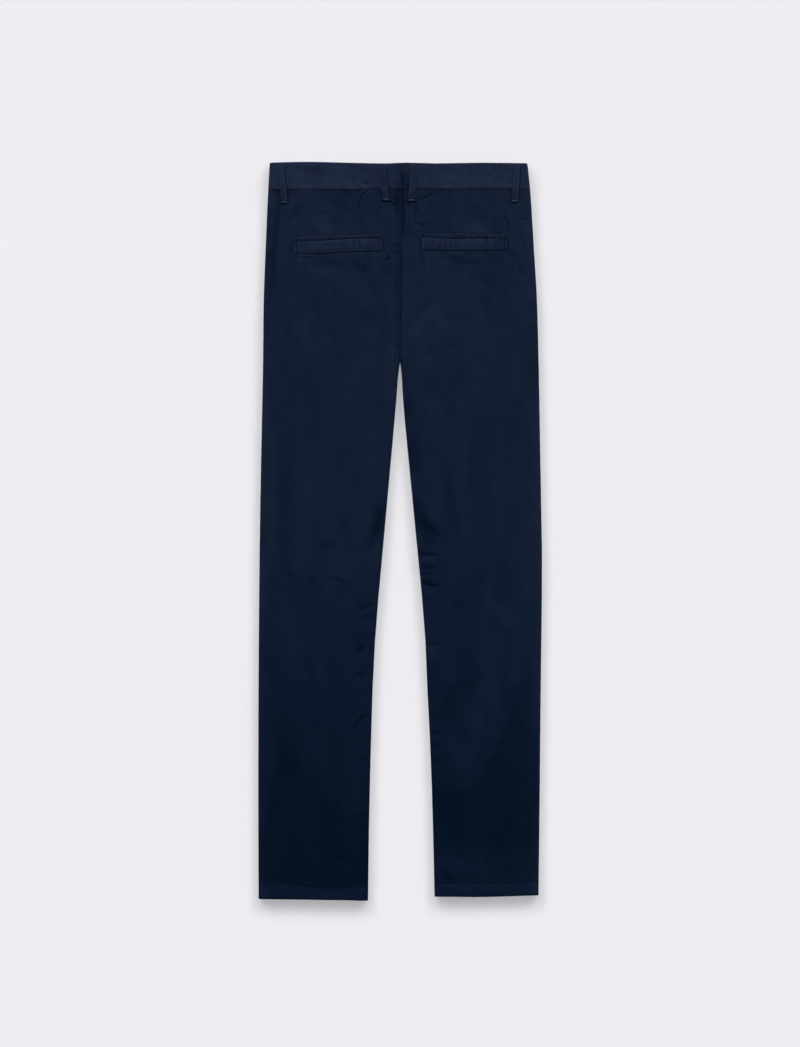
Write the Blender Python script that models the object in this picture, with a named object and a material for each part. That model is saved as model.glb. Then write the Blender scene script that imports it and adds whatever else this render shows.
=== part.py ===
"""Chino trousers laid flat with the back side up. Every cut and sewn piece is a closed solid of its own.

All sizes are in millimetres until a mesh is made, which turns them into metres. +Z is up, the waist points
to +Y, the wearer's left is at -X, and the origin is under the middle of the garment. "down" is the distance
below the waist's top edge, and "out" is the distance from the centre line towards a side seam.
"""

import math
from collections import namedtuple

import bmesh
import bpy
from mathutils import Vector

MM = 0.001
SIGN = {"left": -1, "right": 1}

# The cloth, and how the layers lie on each other.
CLOTH = 1.2
BAND_CLOTH = 2.0
LOOP_CLOTH = 1.6
WELT_CLOTH = 1.4
LIP_CLOTH = 1.0
SEAM_GAP = 0.3
PANEL_TOP = 6.0
BAND_TOP = 7.4
EQUATOR = 2.6
CURL = 8.0

# The length of the garment and the places along it.
BAND_HEIGHT = 37.0
CROTCH = 292.0
CROTCH_BLEND = 16.0
HEM = {"left": 1065.4, "right": 1060.2}
HEM_SLOPE = 1.0
HEM_DEPTH = 18.0
HALF_LENGTH = (HEM["left"] + HEM_SLOPE) / 2

# The centre seams: the back one leans, and the fly's edge stands past the centre on the wearer's right.
BACK_SEAM_LEAN = 3.5
FLY_EDGE = 5.0
FLY_TOP = 160.0
FLY_END = 200.0
FRONT_DIP = 15.0
FRONT_DIP_END = 240.0

# The half widths, out from the centre line to each side seam.
SideSeam = namedtuple("SideSeam", "down left right")
SIDE_SEAM = (
    SideSeam(0, 188.0, 183.6),
    SideSeam(37, 190.3, 187.6),
    SideSeam(126, 194.1, 193.2),
    SideSeam(198, 196.8, 197.5),
    SideSeam(292, 197.8, 200.0),
    SideSeam(464, 201.3, 203.0),
    SideSeam(580, 202.9, 204.9),
    SideSeam(765, 204.4, 202.9),
    SideSeam(950, 204.6, 201.1),
    SideSeam(1066, 204.2, 199.7),
)

# The inner edges of the legs, out from the centre line, from the crotch to the hems.
Inseam = namedtuple("Inseam", "down left right")
INSEAM = (
    Inseam(292, 0.0, 0.0),
    Inseam(302, 2.1, 1.9),
    Inseam(348, 6.2, 5.1),
    Inseam(464, 16.6, 16.2),
    Inseam(580, 27.2, 27.5),
    Inseam(672, 35.3, 36.0),
    Inseam(765, 40.3, 40.2),
    Inseam(858, 42.9, 44.8),
    Inseam(950, 45.2, 47.8),
    Inseam(1066, 46.7, 50.5),
)

# The largest folds in the back of the legs: soft ridges, or troughs where the height is negative.
Fold = namedtuple("Fold", "side out down end_out end_down width height")
FOLDS = (
    Fold("left", 178, 330, 172, 590, 9, -1.1),
    Fold("left", 160, 360, 152, 560, 10, 0.5),
    Fold("left", 60, 560, 85, 800, 16, 0.6),
    Fold("left", 120, 620, 128, 860, 18, -0.7),
    Fold("left", 158, 700, 160, 960, 14, 0.5),
    Fold("right", 130, 500, 100, 760, 15, 0.8),
    Fold("right", 158, 600, 118, 930, 12, -0.9),
    Fold("right", 60, 480, 72, 640, 11, -0.8),
    Fold("right", 172, 780, 166, 1000, 12, 0.5),
    Fold("right", 80, 800, 84, 980, 12, -0.6),
)
FOLD_TAPER = 60.0

# Where the sections of a leg panel are taken, down the garment and up from the hem.
PANEL_DOWNS = (
    BAND_HEIGHT + SEAM_GAP, 50, 65, 90, 126, 165, 178, 188, 196, 205, 245, 278, 286, 292, 298, 306, 325,
    370, 430, 495, 560, 625, 690, 760, 830, 900, 970, 1020,
)  # fmt: skip
HEM_UPS = (HEM_DEPTH + 1.5, HEM_DEPTH, 0.0)
CURL_STEPS = 3
BAND_DOWNS = (0.0, 1.6, BAND_HEIGHT / 2, BAND_HEIGHT - 1.6, BAND_HEIGHT)
BAND_EDGE_THINNING = 0.5

# Belt loops. A loop on the front lies under the garment, which rises over it.
Loop = namedtuple("Loop", "name face side out lean")
LOOPS = (
    Loop("belt_loop_side_left", "back", "left", 169.0, 1.0),
    Loop("belt_loop_centre_left", "back", "left", 22.2, -0.6),
    Loop("belt_loop_centre_right", "back", "right", 15.2, 0.8),
    Loop("belt_loop_side_right", "back", "right", 165.4, 0.6),
    Loop("belt_loop_front_left", "front", "left", 95.0, 0.0),
    Loop("belt_loop_front_right", "front", "right", 95.0, 0.0),
)
LOOP_WIDTH = 12.4
LOOP_DOWNS = (4.0, 8.0, 16.0, 26.0, 34.0, 38.0, 43.0, 48.0, 57.5)
LOOP_BOW = 0.8
LOOP_LANDING = 10.0
FRONT_LOOP_OUT = 95.0
LOOP_LIFT = LOOP_CLOTH + SEAM_GAP
LOOP_LIFT_FLAT = 8.0
LOOP_LIFT_REACH = 22.0

# The waist button, under the wearer's left end of the band.
BUTTON_RADIUS = 8.5
BUTTON_THICK = 2.2
BUTTON_X = -8.0
BUTTON_DOWN = 18.5
BUTTON_SIDES = 28
BUTTON_LIFT = BUTTON_THICK + SEAM_GAP
BUTTON_LIFT_FLAT = 12.0
BUTTON_LIFT_REACH = 30.0

# Back pockets: the outer end's and the inner end's places of the welt's upper edge.
Welt = namedtuple("Welt", "side inner_out outer_out inner_down outer_down height")
WELTS = (
    Welt("left", 26.2, 155.6, 108.6, 112.8, 17.6),
    Welt("right", 30.9, 156.0, 107.4, 108.4, 18.0),
)
LIP_HEIGHT = 5.6
LIP_INSET = 3.5
WELT_STEPS = 8

# Front pockets: the slanted opening runs from the band to the side seam, and the facing shows past it.
POCKET_OUT = 146.0
POCKET_END = 205.0
FACING_UNDERLAP = 16.0
FACING_STEP = 10.0
FACING_DOWNS = PANEL_DOWNS[:9]

# Colours, as linear red, green and blue.
NAVY = (0.0074, 0.0130, 0.0290)
NAVY_BAND = (0.0110, 0.0185, 0.0380)
BUTTON_BLUE = (0.0060, 0.0090, 0.0180)


def lerp(a, b, t):
    return a + (b - a) * t


def smooth(t):
    t = min(1.0, max(0.0, t))
    return t * t * (3 - 2 * t)


def between(rows, down, column):
    """The value of a table's column at any distance down, on a smooth curve through its rows."""
    downs = [row.down for row in rows]
    values = [getattr(row, column) for row in rows]
    down = min(downs[-1], max(downs[0], down))
    i = max(k for k in range(len(rows) - 1) if downs[k] <= down)
    last = len(rows) - 1
    slope = [
        (values[min(k + 1, last)] - values[max(k - 1, 0)])
        / (downs[min(k + 1, last)] - downs[max(k - 1, 0)])
        for k in (i, i + 1)
    ]
    step = downs[i + 1] - downs[i]
    t = (down - downs[i]) / step
    return (
        values[i] * (1 + 2 * t) * (1 - t) ** 2
        + values[i + 1] * t * t * (3 - 2 * t)
        + step * (slope[0] * t * (1 - t) ** 2 - slope[1] * t * t * (1 - t))
    )


def side_edge(side, down):
    return between(SIDE_SEAM, down, side)


def centre_line(face, down):
    """The X of the centre back seam, or of the fly's edge and the centre front seam below it."""
    if face == "back":
        return BACK_SEAM_LEAN * (1 - min(down, CROTCH) / CROTCH)
    return FLY_EDGE * (1 - smooth((down - FLY_TOP) / (FLY_END - FLY_TOP)))


def inner_edge(side, face, down):
    if down < CROTCH:
        return SIGN[side] * centre_line(face, down) + SEAM_GAP / 2
    return between(INSEAM, down, side) + SEAM_GAP / 2


def fold_height(side, out, down):
    """How far the folds raise the back of a leg at a point."""
    total = 0.0
    for fold in FOLDS:
        if fold.side != side:
            continue
        along = (down - fold.down) / (fold.end_down - fold.down)
        middle = lerp(fold.out, fold.end_out, along)
        ends = min(down - fold.down, fold.end_down - down) / FOLD_TAPER
        total += fold.height * smooth(ends) * math.exp(-(((out - middle) / fold.width) ** 2))
    edge = min(out - inner_edge(side, "back", down), side_edge(side, down) - out)
    return total * smooth((edge - 2) / CURL)


def plateau(distance, flat, reach):
    return 1 - smooth((distance - flat) / (reach - flat))


def front_lift(side, out, down):
    """How far the front rises off the surface, over its belt loops and over the button."""
    over_loop = LOOP_LIFT * plateau(abs(out - FRONT_LOOP_OUT), LOOP_LIFT_FLAT, LOOP_LIFT_REACH)
    over_loop *= plateau(down, PANEL_DOWNS[2], PANEL_DOWNS[3])
    from_button = abs(SIGN[side] * out - BUTTON_X)
    over_button = BUTTON_LIFT * plateau(from_button, BUTTON_LIFT_FLAT, BUTTON_LIFT_REACH)
    over_button *= plateau(down, PANEL_DOWNS[0], PANEL_DOWNS[3])
    return max(over_loop, over_button)


def surface(side, face, down, out, depth=0.0, top=PANEL_TOP, gap=SEAM_GAP):
    """A point of one side's back or front, at a depth under its outer face, or above it where negative."""
    height = (top - EQUATOR if face == "back" else EQUATOR) - gap / 2
    inset, rise = out, height - depth
    crotch_roundness = smooth((down - CROTCH) / CROTCH_BLEND + 0.5)
    for edge, inwards, roundness in (
        (side_edge(side, down), -1, 1.0),
        (inner_edge(side, face, down), 1, crotch_roundness),
    ):
        part = abs(out - edge) / CURL
        if part < 1:
            turn = part * math.pi / 2
            curled = depth + (CURL - depth) * (1 - math.cos(turn))
            inset = edge + inwards * lerp(part * CURL, curled, roundness)
            rise = (height - depth) * lerp(1, math.sin(turn), roundness)
    width = side_edge(side, down) - inner_edge(side, face, down)
    across = (out - inner_edge(side, face, down)) / width
    drop = down + HEM_SLOPE * (1 - 2 * across) * smooth((down - PANEL_DOWNS[-3]) / 100)
    if face == "back":
        z = EQUATOR + gap / 2 + rise + fold_height(side, out, down)
    else:
        z = EQUATOR - gap / 2 - rise + front_lift(side, out, down)
        centred = 0.5 + 0.5 * math.cos(math.pi * min(1, abs(out) / side_edge(side, down)))
        drop += FRONT_DIP * centred * (1 - smooth((down - BAND_HEIGHT) / (FRONT_DIP_END - BAND_HEIGHT)))
    return Vector((SIGN[side] * inset, HALF_LENGTH - drop, z))


def cloth_material(name, colour, roughness):
    material = bpy.data.materials.new(name)
    material.use_nodes = True
    shader = material.node_tree.nodes["Principled BSDF"]
    shader.inputs["Base Color"].default_value = (*colour, 1.0)
    shader.inputs["Roughness"].default_value = roughness
    shader.inputs["Metallic"].default_value = 0.0
    return material


def finish_object(name, mesh_data, colour, roughness):
    """Turns a bmesh in millimetres into a named object in metres, with its faces pointing out."""
    bmesh.ops.scale(mesh_data, vec=(MM, MM, MM), verts=mesh_data.verts)
    bmesh.ops.recalc_face_normals(mesh_data, faces=mesh_data.faces)
    mesh = bpy.data.meshes.new(name)
    mesh_data.to_mesh(mesh)
    mesh_data.free()
    mesh.materials.append(cloth_material(name + "_cloth", colour, roughness))
    mesh.shade_smooth()
    mesh.set_sharp_from_angle(angle=math.radians(40))
    piece = bpy.data.objects.new(name, mesh)
    bpy.context.scene.collection.objects.link(piece)
    return piece


def cloth_piece(name, outer, inner, colour=NAVY):
    """A closed wall of cloth between two grids of points, given as rows of equal length."""
    mesh_data = bmesh.new()
    skins = [[[mesh_data.verts.new(point) for point in row] for row in grid] for grid in (outer, inner)]
    rows, columns = len(outer), len(outer[0])
    for skin in skins:
        for i in range(rows - 1):
            for j in range(columns - 1):
                mesh_data.faces.new((skin[i][j], skin[i][j + 1], skin[i + 1][j + 1], skin[i + 1][j]))
    rim = [(0, j) for j in range(columns)]
    rim += [(i, columns - 1) for i in range(1, rows)]
    rim += [(rows - 1, j) for j in reversed(range(columns - 1))]
    rim += [(i, 0) for i in reversed(range(1, rows - 1))]
    for (i, j), (k, m) in zip(rim, rim[1:] + rim[:1]):
        mesh_data.faces.new((skins[0][i][j], skins[0][k][m], skins[1][k][m], skins[1][i][j]))
    return finish_object(name, mesh_data, colour, roughness=0.85)


def curl_outs(edge, inwards):
    """The places of the columns round a curled edge, from the edge inwards."""
    return [edge + inwards * CURL * k / CURL_STEPS for k in range(CURL_STEPS + 1)]


def even_outs(start, end, steps):
    return [lerp(start, end, k / steps) for k in range(steps + 1)]


def panel_downs(side):
    return list(PANEL_DOWNS) + [HEM[side] - up for up in HEM_UPS]


def panel_wall(side, down):
    """The cloth is double where the hem is turned up inside."""
    return 2 * CLOTH if down >= HEM[side] - HEM_DEPTH - 0.01 else CLOTH


def back_panel(side):
    outer, inner = [], []
    for down in panel_downs(side):
        start, end = inner_edge(side, "back", down), side_edge(side, down)
        outs = curl_outs(start, 1)[:-1] + even_outs(start + CURL, end - CURL, 7) + curl_outs(end, -1)[-2::-1]
        outer.append([surface(side, "back", down, out) for out in outs])
        inner.append([surface(side, "back", down, out, panel_wall(side, down)) for out in outs])
    cloth_piece(f"back_panel_{side}", outer, inner)


def pocket_line(side, down):
    """The front panel's outer edge: the slanted pocket opening, and below it the side seam."""
    along = (down - BAND_HEIGHT) / (POCKET_END - BAND_HEIGHT)
    return min(side_edge(side, down), lerp(POCKET_OUT, side_edge(side, POCKET_END), along))


def front_outs(side, start, end, down):
    """Columns that lie beside the belt loop and the button at the waist, and are even down the leg."""
    near_button = (20.0, 38.0) if side == "left" else (22.0, 38.0)
    beside_loop = [FRONT_LOOP_OUT + d for d in (-LOOP_LIFT_REACH, -LOOP_LIFT_FLAT, LOOP_LIFT_FLAT, LOOP_LIFT_REACH)]
    at_waist = [start + CURL, *near_button, *beside_loop, lerp(beside_loop[-1], end - CURL, 0.5), end - CURL]
    at_leg = even_outs(start + CURL, end - CURL, len(at_waist) - 1)
    mix = smooth((down - PANEL_DOWNS[3]) / 120)
    middle = [lerp(a, b, mix) for a, b in zip(at_waist, at_leg)]
    return curl_outs(start, 1)[:-1] + middle + curl_outs(end, -1)[-2::-1]


def front_panel(side):
    outer, inner = [], []
    for down in panel_downs(side):
        start, end = inner_edge(side, "front", down), pocket_line(side, down)
        outs = front_outs(side, start, end, down)
        outer.append([surface(side, "front", down, out) for out in outs])
        inner.append([surface(side, "front", down, out, panel_wall(side, down)) for out in outs])
    cloth_piece(f"front_panel_{side}", outer, inner)


def front_pocket_facing(side):
    """The cloth that shows past the slanted opening, sewn into the side seam and reaching under the panel."""
    outer, inner = [], []
    for down in FACING_DOWNS:
        line, edge = pocket_line(side, down), side_edge(side, down)
        outs = [line - FACING_UNDERLAP] + curl_outs(line, -1)[::-1] + even_outs(line, edge, 6)[1:]
        depths = [(CLOTH + SEAM_GAP) * (1 - smooth((out - line - 1) / FACING_STEP)) for out in outs]
        outer.append([surface(side, "front", down, out, depth) for out, depth in zip(outs, depths)])
        inner.append([surface(side, "front", down, out, depth + CLOTH) for out, depth in zip(outs, depths)])
    cloth_piece(f"front_pocket_facing_{side}", outer, inner)


def waistband(side):
    """Half of the band, from the centre back seam round the side to the fly."""
    outer, inner = [], []
    for down in BAND_DOWNS:
        end = side_edge(side, down)
        thinning = BAND_EDGE_THINNING if down in (0.0, BAND_HEIGHT) else 0.0
        back = even_outs(inner_edge(side, "back", down), end - CURL, 9) + curl_outs(end, -1)[-2::-1]
        front = front_outs(side, inner_edge(side, "front", down), end, down)
        front = [front[0]] + front[CURL_STEPS + 1 :]
        route = [("back", out) for out in back] + [("front", out) for out in reversed(front[:-1])]
        for grid, depth in ((outer, thinning), (inner, BAND_CLOTH - thinning)):
            grid.append([surface(side, face, down, out, depth, BAND_TOP, gap=0) for face, out in route])
    cloth_piece(f"waistband_{side}", outer, inner, NAVY_BAND)


def belt_loop(loop):
    """A folded strip sewn down at both ends, which lands on the panel just under the band."""
    outer, inner = [], []
    for down in LOOP_DOWNS:
        share = (down - LOOP_DOWNS[0]) / (LOOP_DOWNS[-1] - LOOP_DOWNS[0])
        middle = loop.out + loop.lean * (2 * share - 1)
        outs = [middle + LOOP_WIDTH * (k / 2 - 0.5) for k in range(3)]
        top = lerp(BAND_TOP, PANEL_TOP, smooth((down - LOOP_DOWNS[5]) / LOOP_LANDING))
        bow = LOOP_BOW * math.sin(math.pi * min(1, share / 0.7)) if loop.face == "back" else 0.0
        for grid, above in ((inner, SEAM_GAP + bow), (outer, SEAM_GAP + bow + LOOP_CLOTH)):
            grid.append([surface(loop.side, loop.face, down, out, -above, top, gap=0) for out in outs])
    cloth_piece(loop.name, outer, inner, NAVY_BAND)


def strip_on_back(name, side, outs, upper, lower, cloth):
    """A strip that lies on the back panel, between an upper and a lower line given as functions of out."""
    grids = []
    for depth in (-SEAM_GAP - cloth, -SEAM_GAP):
        grids.append(
            [
                [surface(side, "back", lerp(upper(out), lower(out), share), out, depth) for out in outs]
                for share in (0.0, 0.5, 1.0)
            ]
        )
    cloth_piece(name, grids[0], grids[1])


def back_pocket(welt):
    """The welt, and above its opening the narrow lip."""

    def upper_edge(out):
        return lerp(welt.inner_down, welt.outer_down, (out - welt.inner_out) / (welt.outer_out - welt.inner_out))

    strip_on_back(
        f"back_pocket_welt_{welt.side}",
        welt.side,
        even_outs(welt.inner_out, welt.outer_out, WELT_STEPS),
        upper_edge,
        lambda out: upper_edge(out) + welt.height,
        WELT_CLOTH,
    )
    strip_on_back(
        f"back_pocket_lip_{welt.side}",
        welt.side,
        even_outs(welt.inner_out + LIP_INSET, welt.outer_out - LIP_INSET, WELT_STEPS),
        lambda out: upper_edge(out) - SEAM_GAP - LIP_HEIGHT,
        lambda out: upper_edge(out) - SEAM_GAP,
        LIP_CLOTH,
    )


def waist_button():
    """A flat button with a rounded rim, face down on the surface."""
    place = surface("left", "front", BUTTON_DOWN, -BUTTON_X)
    rings = ((0.86, 0.0), (1.0, 0.35), (1.0, 0.7), (0.9, 1.0))
    mesh_data = bmesh.new()
    circles = []
    for reach, height in rings:
        turns = [2 * math.pi * k / BUTTON_SIDES for k in range(BUTTON_SIDES)]
        radius = BUTTON_RADIUS * reach
        circles.append(
            [
                mesh_data.verts.new(
                    (place.x + radius * math.cos(a), place.y + radius * math.sin(a), BUTTON_THICK * height)
                )
                for a in turns
            ]
        )
    mesh_data.faces.new(circles[0])
    mesh_data.faces.new(circles[-1])
    for low, high in zip(circles, circles[1:]):
        for k in range(BUTTON_SIDES):
            m = (k + 1) % BUTTON_SIDES
            mesh_data.faces.new((low[k], low[m], high[m], high[k]))
    finish_object("waist_button", mesh_data, BUTTON_BLUE, roughness=0.35)


def main():
    for old in list(bpy.data.objects):
        bpy.data.objects.remove(old)
    for side in SIGN:
        back_panel(side)
        front_panel(side)
        front_pocket_facing(side)
        waistband(side)
    for loop in LOOPS:
        belt_loop(loop)
    for welt in WELTS:
        back_pocket(welt)
    waist_button()


main()
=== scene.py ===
"""Looks of the chino trousers, laid flat with the back side up.

Places on the garment are in millimetres: x across it, with the wearer's left at -x, "out" from the centre
line towards a side seam, and "down" from the waist's top edge. Meshes turn them into metres of the frame.
"""

import math
from collections import namedtuple
from functools import partial

import bpy
import numpy as np
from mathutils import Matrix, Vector


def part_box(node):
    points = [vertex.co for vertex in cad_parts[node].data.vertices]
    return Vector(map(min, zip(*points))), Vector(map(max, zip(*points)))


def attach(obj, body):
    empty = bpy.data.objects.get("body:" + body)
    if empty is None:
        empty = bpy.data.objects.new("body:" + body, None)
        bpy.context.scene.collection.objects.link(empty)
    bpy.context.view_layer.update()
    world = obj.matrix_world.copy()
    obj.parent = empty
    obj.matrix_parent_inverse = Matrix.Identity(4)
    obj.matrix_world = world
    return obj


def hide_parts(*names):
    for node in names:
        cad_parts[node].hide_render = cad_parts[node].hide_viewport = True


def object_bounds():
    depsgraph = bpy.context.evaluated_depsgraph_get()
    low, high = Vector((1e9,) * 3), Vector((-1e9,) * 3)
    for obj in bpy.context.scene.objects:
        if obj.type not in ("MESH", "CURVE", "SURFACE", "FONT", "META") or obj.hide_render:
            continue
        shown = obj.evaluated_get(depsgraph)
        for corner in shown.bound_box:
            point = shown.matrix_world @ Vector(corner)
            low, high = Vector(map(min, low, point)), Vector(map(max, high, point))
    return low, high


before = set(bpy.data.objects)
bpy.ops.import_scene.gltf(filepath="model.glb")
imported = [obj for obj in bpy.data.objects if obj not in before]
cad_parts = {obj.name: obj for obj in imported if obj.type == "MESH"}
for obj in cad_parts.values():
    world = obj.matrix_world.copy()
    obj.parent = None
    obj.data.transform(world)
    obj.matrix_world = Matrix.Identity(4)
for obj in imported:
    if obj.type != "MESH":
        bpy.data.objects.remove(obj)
CAD_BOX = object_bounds()

MM = 0.001
SIGN = {"left": -1, "right": 1}
HALF_LENGTH = CAD_BOX[1].y / MM
BAND_HEIGHT = 37.0
SEAM_GAP = 0.3
PANEL_START = BAND_HEIGHT + SEAM_GAP
CROTCH, CROTCH_BLEND = 292.0, 16.0
HEM = {"left": 1065.4, "right": 1060.2}
HEM_DEPTH = 17.5
FRONT_DIP, FRONT_DIP_END = 15.0, 240.0
CLOTH, BAND_CLOTH = 0.9, 1.9
# heights over the surface: where back and front meet in the side's curl, and the tops of panels and band
EQUATOR, PANEL_TOP, BAND_TOP = 2.6, 6.0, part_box("waistband_left")[1].z / MM
CURL = 8.0


# Small mathematics, on numbers and on arrays alike.


def lerp(a, b, t):
    return a + (b - a) * t


def smooth(t):
    t = np.clip(t, 0.0, 1.0)
    return t * t * (3 - 2 * t)


def bell(distance, width):
    return np.exp(-((distance / width) ** 2))


def fading(distance, reach):
    return np.exp(-distance / reach)


def plateau(distance, flat, reach):
    return 1 - smooth((distance - flat) / (reach - flat))


def rows_of(kind, *rows):
    """A table whose rows have the kind's named columns."""
    return tuple(kind(*row) for row in rows)


def table(rows, value, column=None):
    """A table's named or last column at a value of its first, straight between its rows."""
    column = column or rows[0]._fields[-1]
    return np.interp(value, [row[0] for row in rows], [getattr(row, column) for row in rows])


Swell = namedtuple("Swell", "height wavelength seed stretch", defaults=(1.0,))
WAVES = 9


def swell(kind, x, y, seed=0):
    """A soft random swell: a sum of waves, longer along y by the stretch."""
    rng = np.random.RandomState(kind.seed + seed)
    total = 0.0
    for _ in range(WAVES):
        angle, phase = rng.uniform(0, 2 * math.pi, 2)
        wave = kind.wavelength * rng.uniform(0.7, 1.5)
        place = x * math.cos(angle) + y / kind.stretch * math.sin(angle)
        total = total + np.sin(place * 2 * math.pi / wave + phase)
    return kind.height * total * math.sqrt(2 / WAVES) * 0.7


def swells(kinds, x, y, seed=0):
    return sum(swell(kind, x, y, seed) for kind in kinds)


def puckers(along, spacing, seed):
    """Uneven little waves along a seam, between -1 and 1."""
    wander = 1.9 * np.sin(along / (spacing * 2.9) + seed) + 1.3 * np.sin(along / (spacing * 1.7) + 2.3 * seed)
    strength = 0.62 + 0.38 * np.sin(along / (spacing * 4.3) + 1.7 * seed)
    return np.sin(2 * math.pi * along / spacing + wander) * strength


# A line is pressed in or raised, or is a line of shade. Puckers fade away from the seam that draws them.
Line = namedtuple("Line", "height width")
Pucker = namedtuple("Pucker", "height reach spacing seed")


def line_at(line, distance):
    return line.height * bell(distance, line.width)


def pucker_at(kind, distance, along, side_seed=0.0):
    return kind.height * fading(distance, kind.reach) * puckers(along, kind.spacing, kind.seed + side_seed)


# The garment's outline, sliced from the frame's nodes at every millimetre down.

DOWNS = np.arange(0.0, 1068.0)
SLICE_MARGIN, SLOPE_RUN = 6.0, 12
# the first slice below the front's hollowed top edge
FRONT_SLICED = int(BAND_HEIGHT + FRONT_DIP + 2 * SLICE_MARGIN)
INSEAM_SOFTNESS, SIDE_SOFTNESS = 5, 12
# The cloth stands a little outside the solids' facets, and the legs part bluntly at the crotch.
OUTLINE_EASE, CROTCH_OPEN = 0.6, 0.55


def mesh_points(mesh):
    points = np.empty(len(mesh.vertices) * 3, np.float32)
    mesh.vertices.foreach_get("co", points)
    return points.reshape(-1, 3)


def slice_node(name):
    """The lowest and the highest x of a node at each of DOWNS, run on straight near the node's own ends."""
    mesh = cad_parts[name].data
    points = mesh_points(mesh) / MM
    ends = np.empty(len(mesh.edges) * 2, np.int32)
    mesh.edges.foreach_get("vertices", ends)
    a, b = points[ends[0::2]], points[ends[1::2]]
    low, high = np.empty(len(DOWNS)), np.empty(len(DOWNS))
    levels = HALF_LENGTH - DOWNS
    inside = (levels > points[:, 1].min() + SLICE_MARGIN) & (levels < points[:, 1].max() - SLICE_MARGIN)
    for i in np.flatnonzero(inside):
        crossing = (a[:, 1] > levels[i]) != (b[:, 1] > levels[i])
        p, q = a[crossing], b[crossing]
        x = p[:, 0] + (levels[i] - p[:, 1]) / (q[:, 1] - p[:, 1]) * (q[:, 0] - p[:, 0])
        low[i], high[i] = x.min(), x.max()
    first, last = np.flatnonzero(inside)[[0, -1]]
    for line in (low, high):
        slope = (line[first + SLOPE_RUN] - line[first]) / SLOPE_RUN
        line[:first] = line[first] + (DOWNS[:first] - DOWNS[first]) * slope
        slope = (line[last] - line[last - SLOPE_RUN]) / SLOPE_RUN
        line[last + 1 :] = line[last] + (DOWNS[last + 1 :] - DOWNS[last]) * slope
    return low, high


def softened(values, reach):
    """A line with its corners rounded off over a reach, its ends kept."""
    n = 3 * reach
    window = bell(np.arange(-n, n + 1), reach)
    before, after = 2 * values[0] - values[n:0:-1], 2 * values[-1] - values[-2 : -n - 2 : -1]
    return np.convolve(np.concatenate([before, values, after]), window / window.sum(), "valid")


def make_outline():
    """How far out each half's side edge lies at each of DOWNS, and the inner edge of its back and front."""
    side_edges, inner_edges = {}, {}
    in_band, above = DOWNS < BAND_HEIGHT, DOWNS < CROTCH
    for side, sign in SIGN.items():
        inner, outer = {}, {}
        for kind in ("back_panel", "front_panel", "waistband"):
            low, high = slice_node(f"{kind}_{side}")
            inner[kind], outer[kind] = (-high, -low) if sign < 0 else (low, high)
        side_edges[side] = softened(np.where(in_band, outer["waistband"], outer["back_panel"]), SIDE_SOFTNESS)
        inner["front_panel"][:FRONT_SLICED] = inner["front_panel"][FRONT_SLICED]
        for face in ("back", "front"):
            line = inner[f"{face}_panel"]
            inner_edges[side, face] = np.concatenate([line[above], softened(line[~above], INSEAM_SOFTNESS)])
    return side_edges, inner_edges


SIDE_EDGES, INNER_EDGES = make_outline()


def side_edge(side, down):
    return np.interp(down, DOWNS, SIDE_EDGES[side]) + OUTLINE_EASE


def inner_edge(side, face, down):
    ease = OUTLINE_EASE * smooth((down - CROTCH - 8) / 50)
    opening = CROTCH_OPEN * bell(down - CROTCH - 1, 3.5)
    return np.interp(down, DOWNS, INNER_EDGES[side, face]) - ease + opening


# Creases placed one by one: each runs from one place to another with its middle bowed sideways, and is a
# ridge, or a trough where the height is negative. A roll lifts one side of it and lowers the other.

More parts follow.
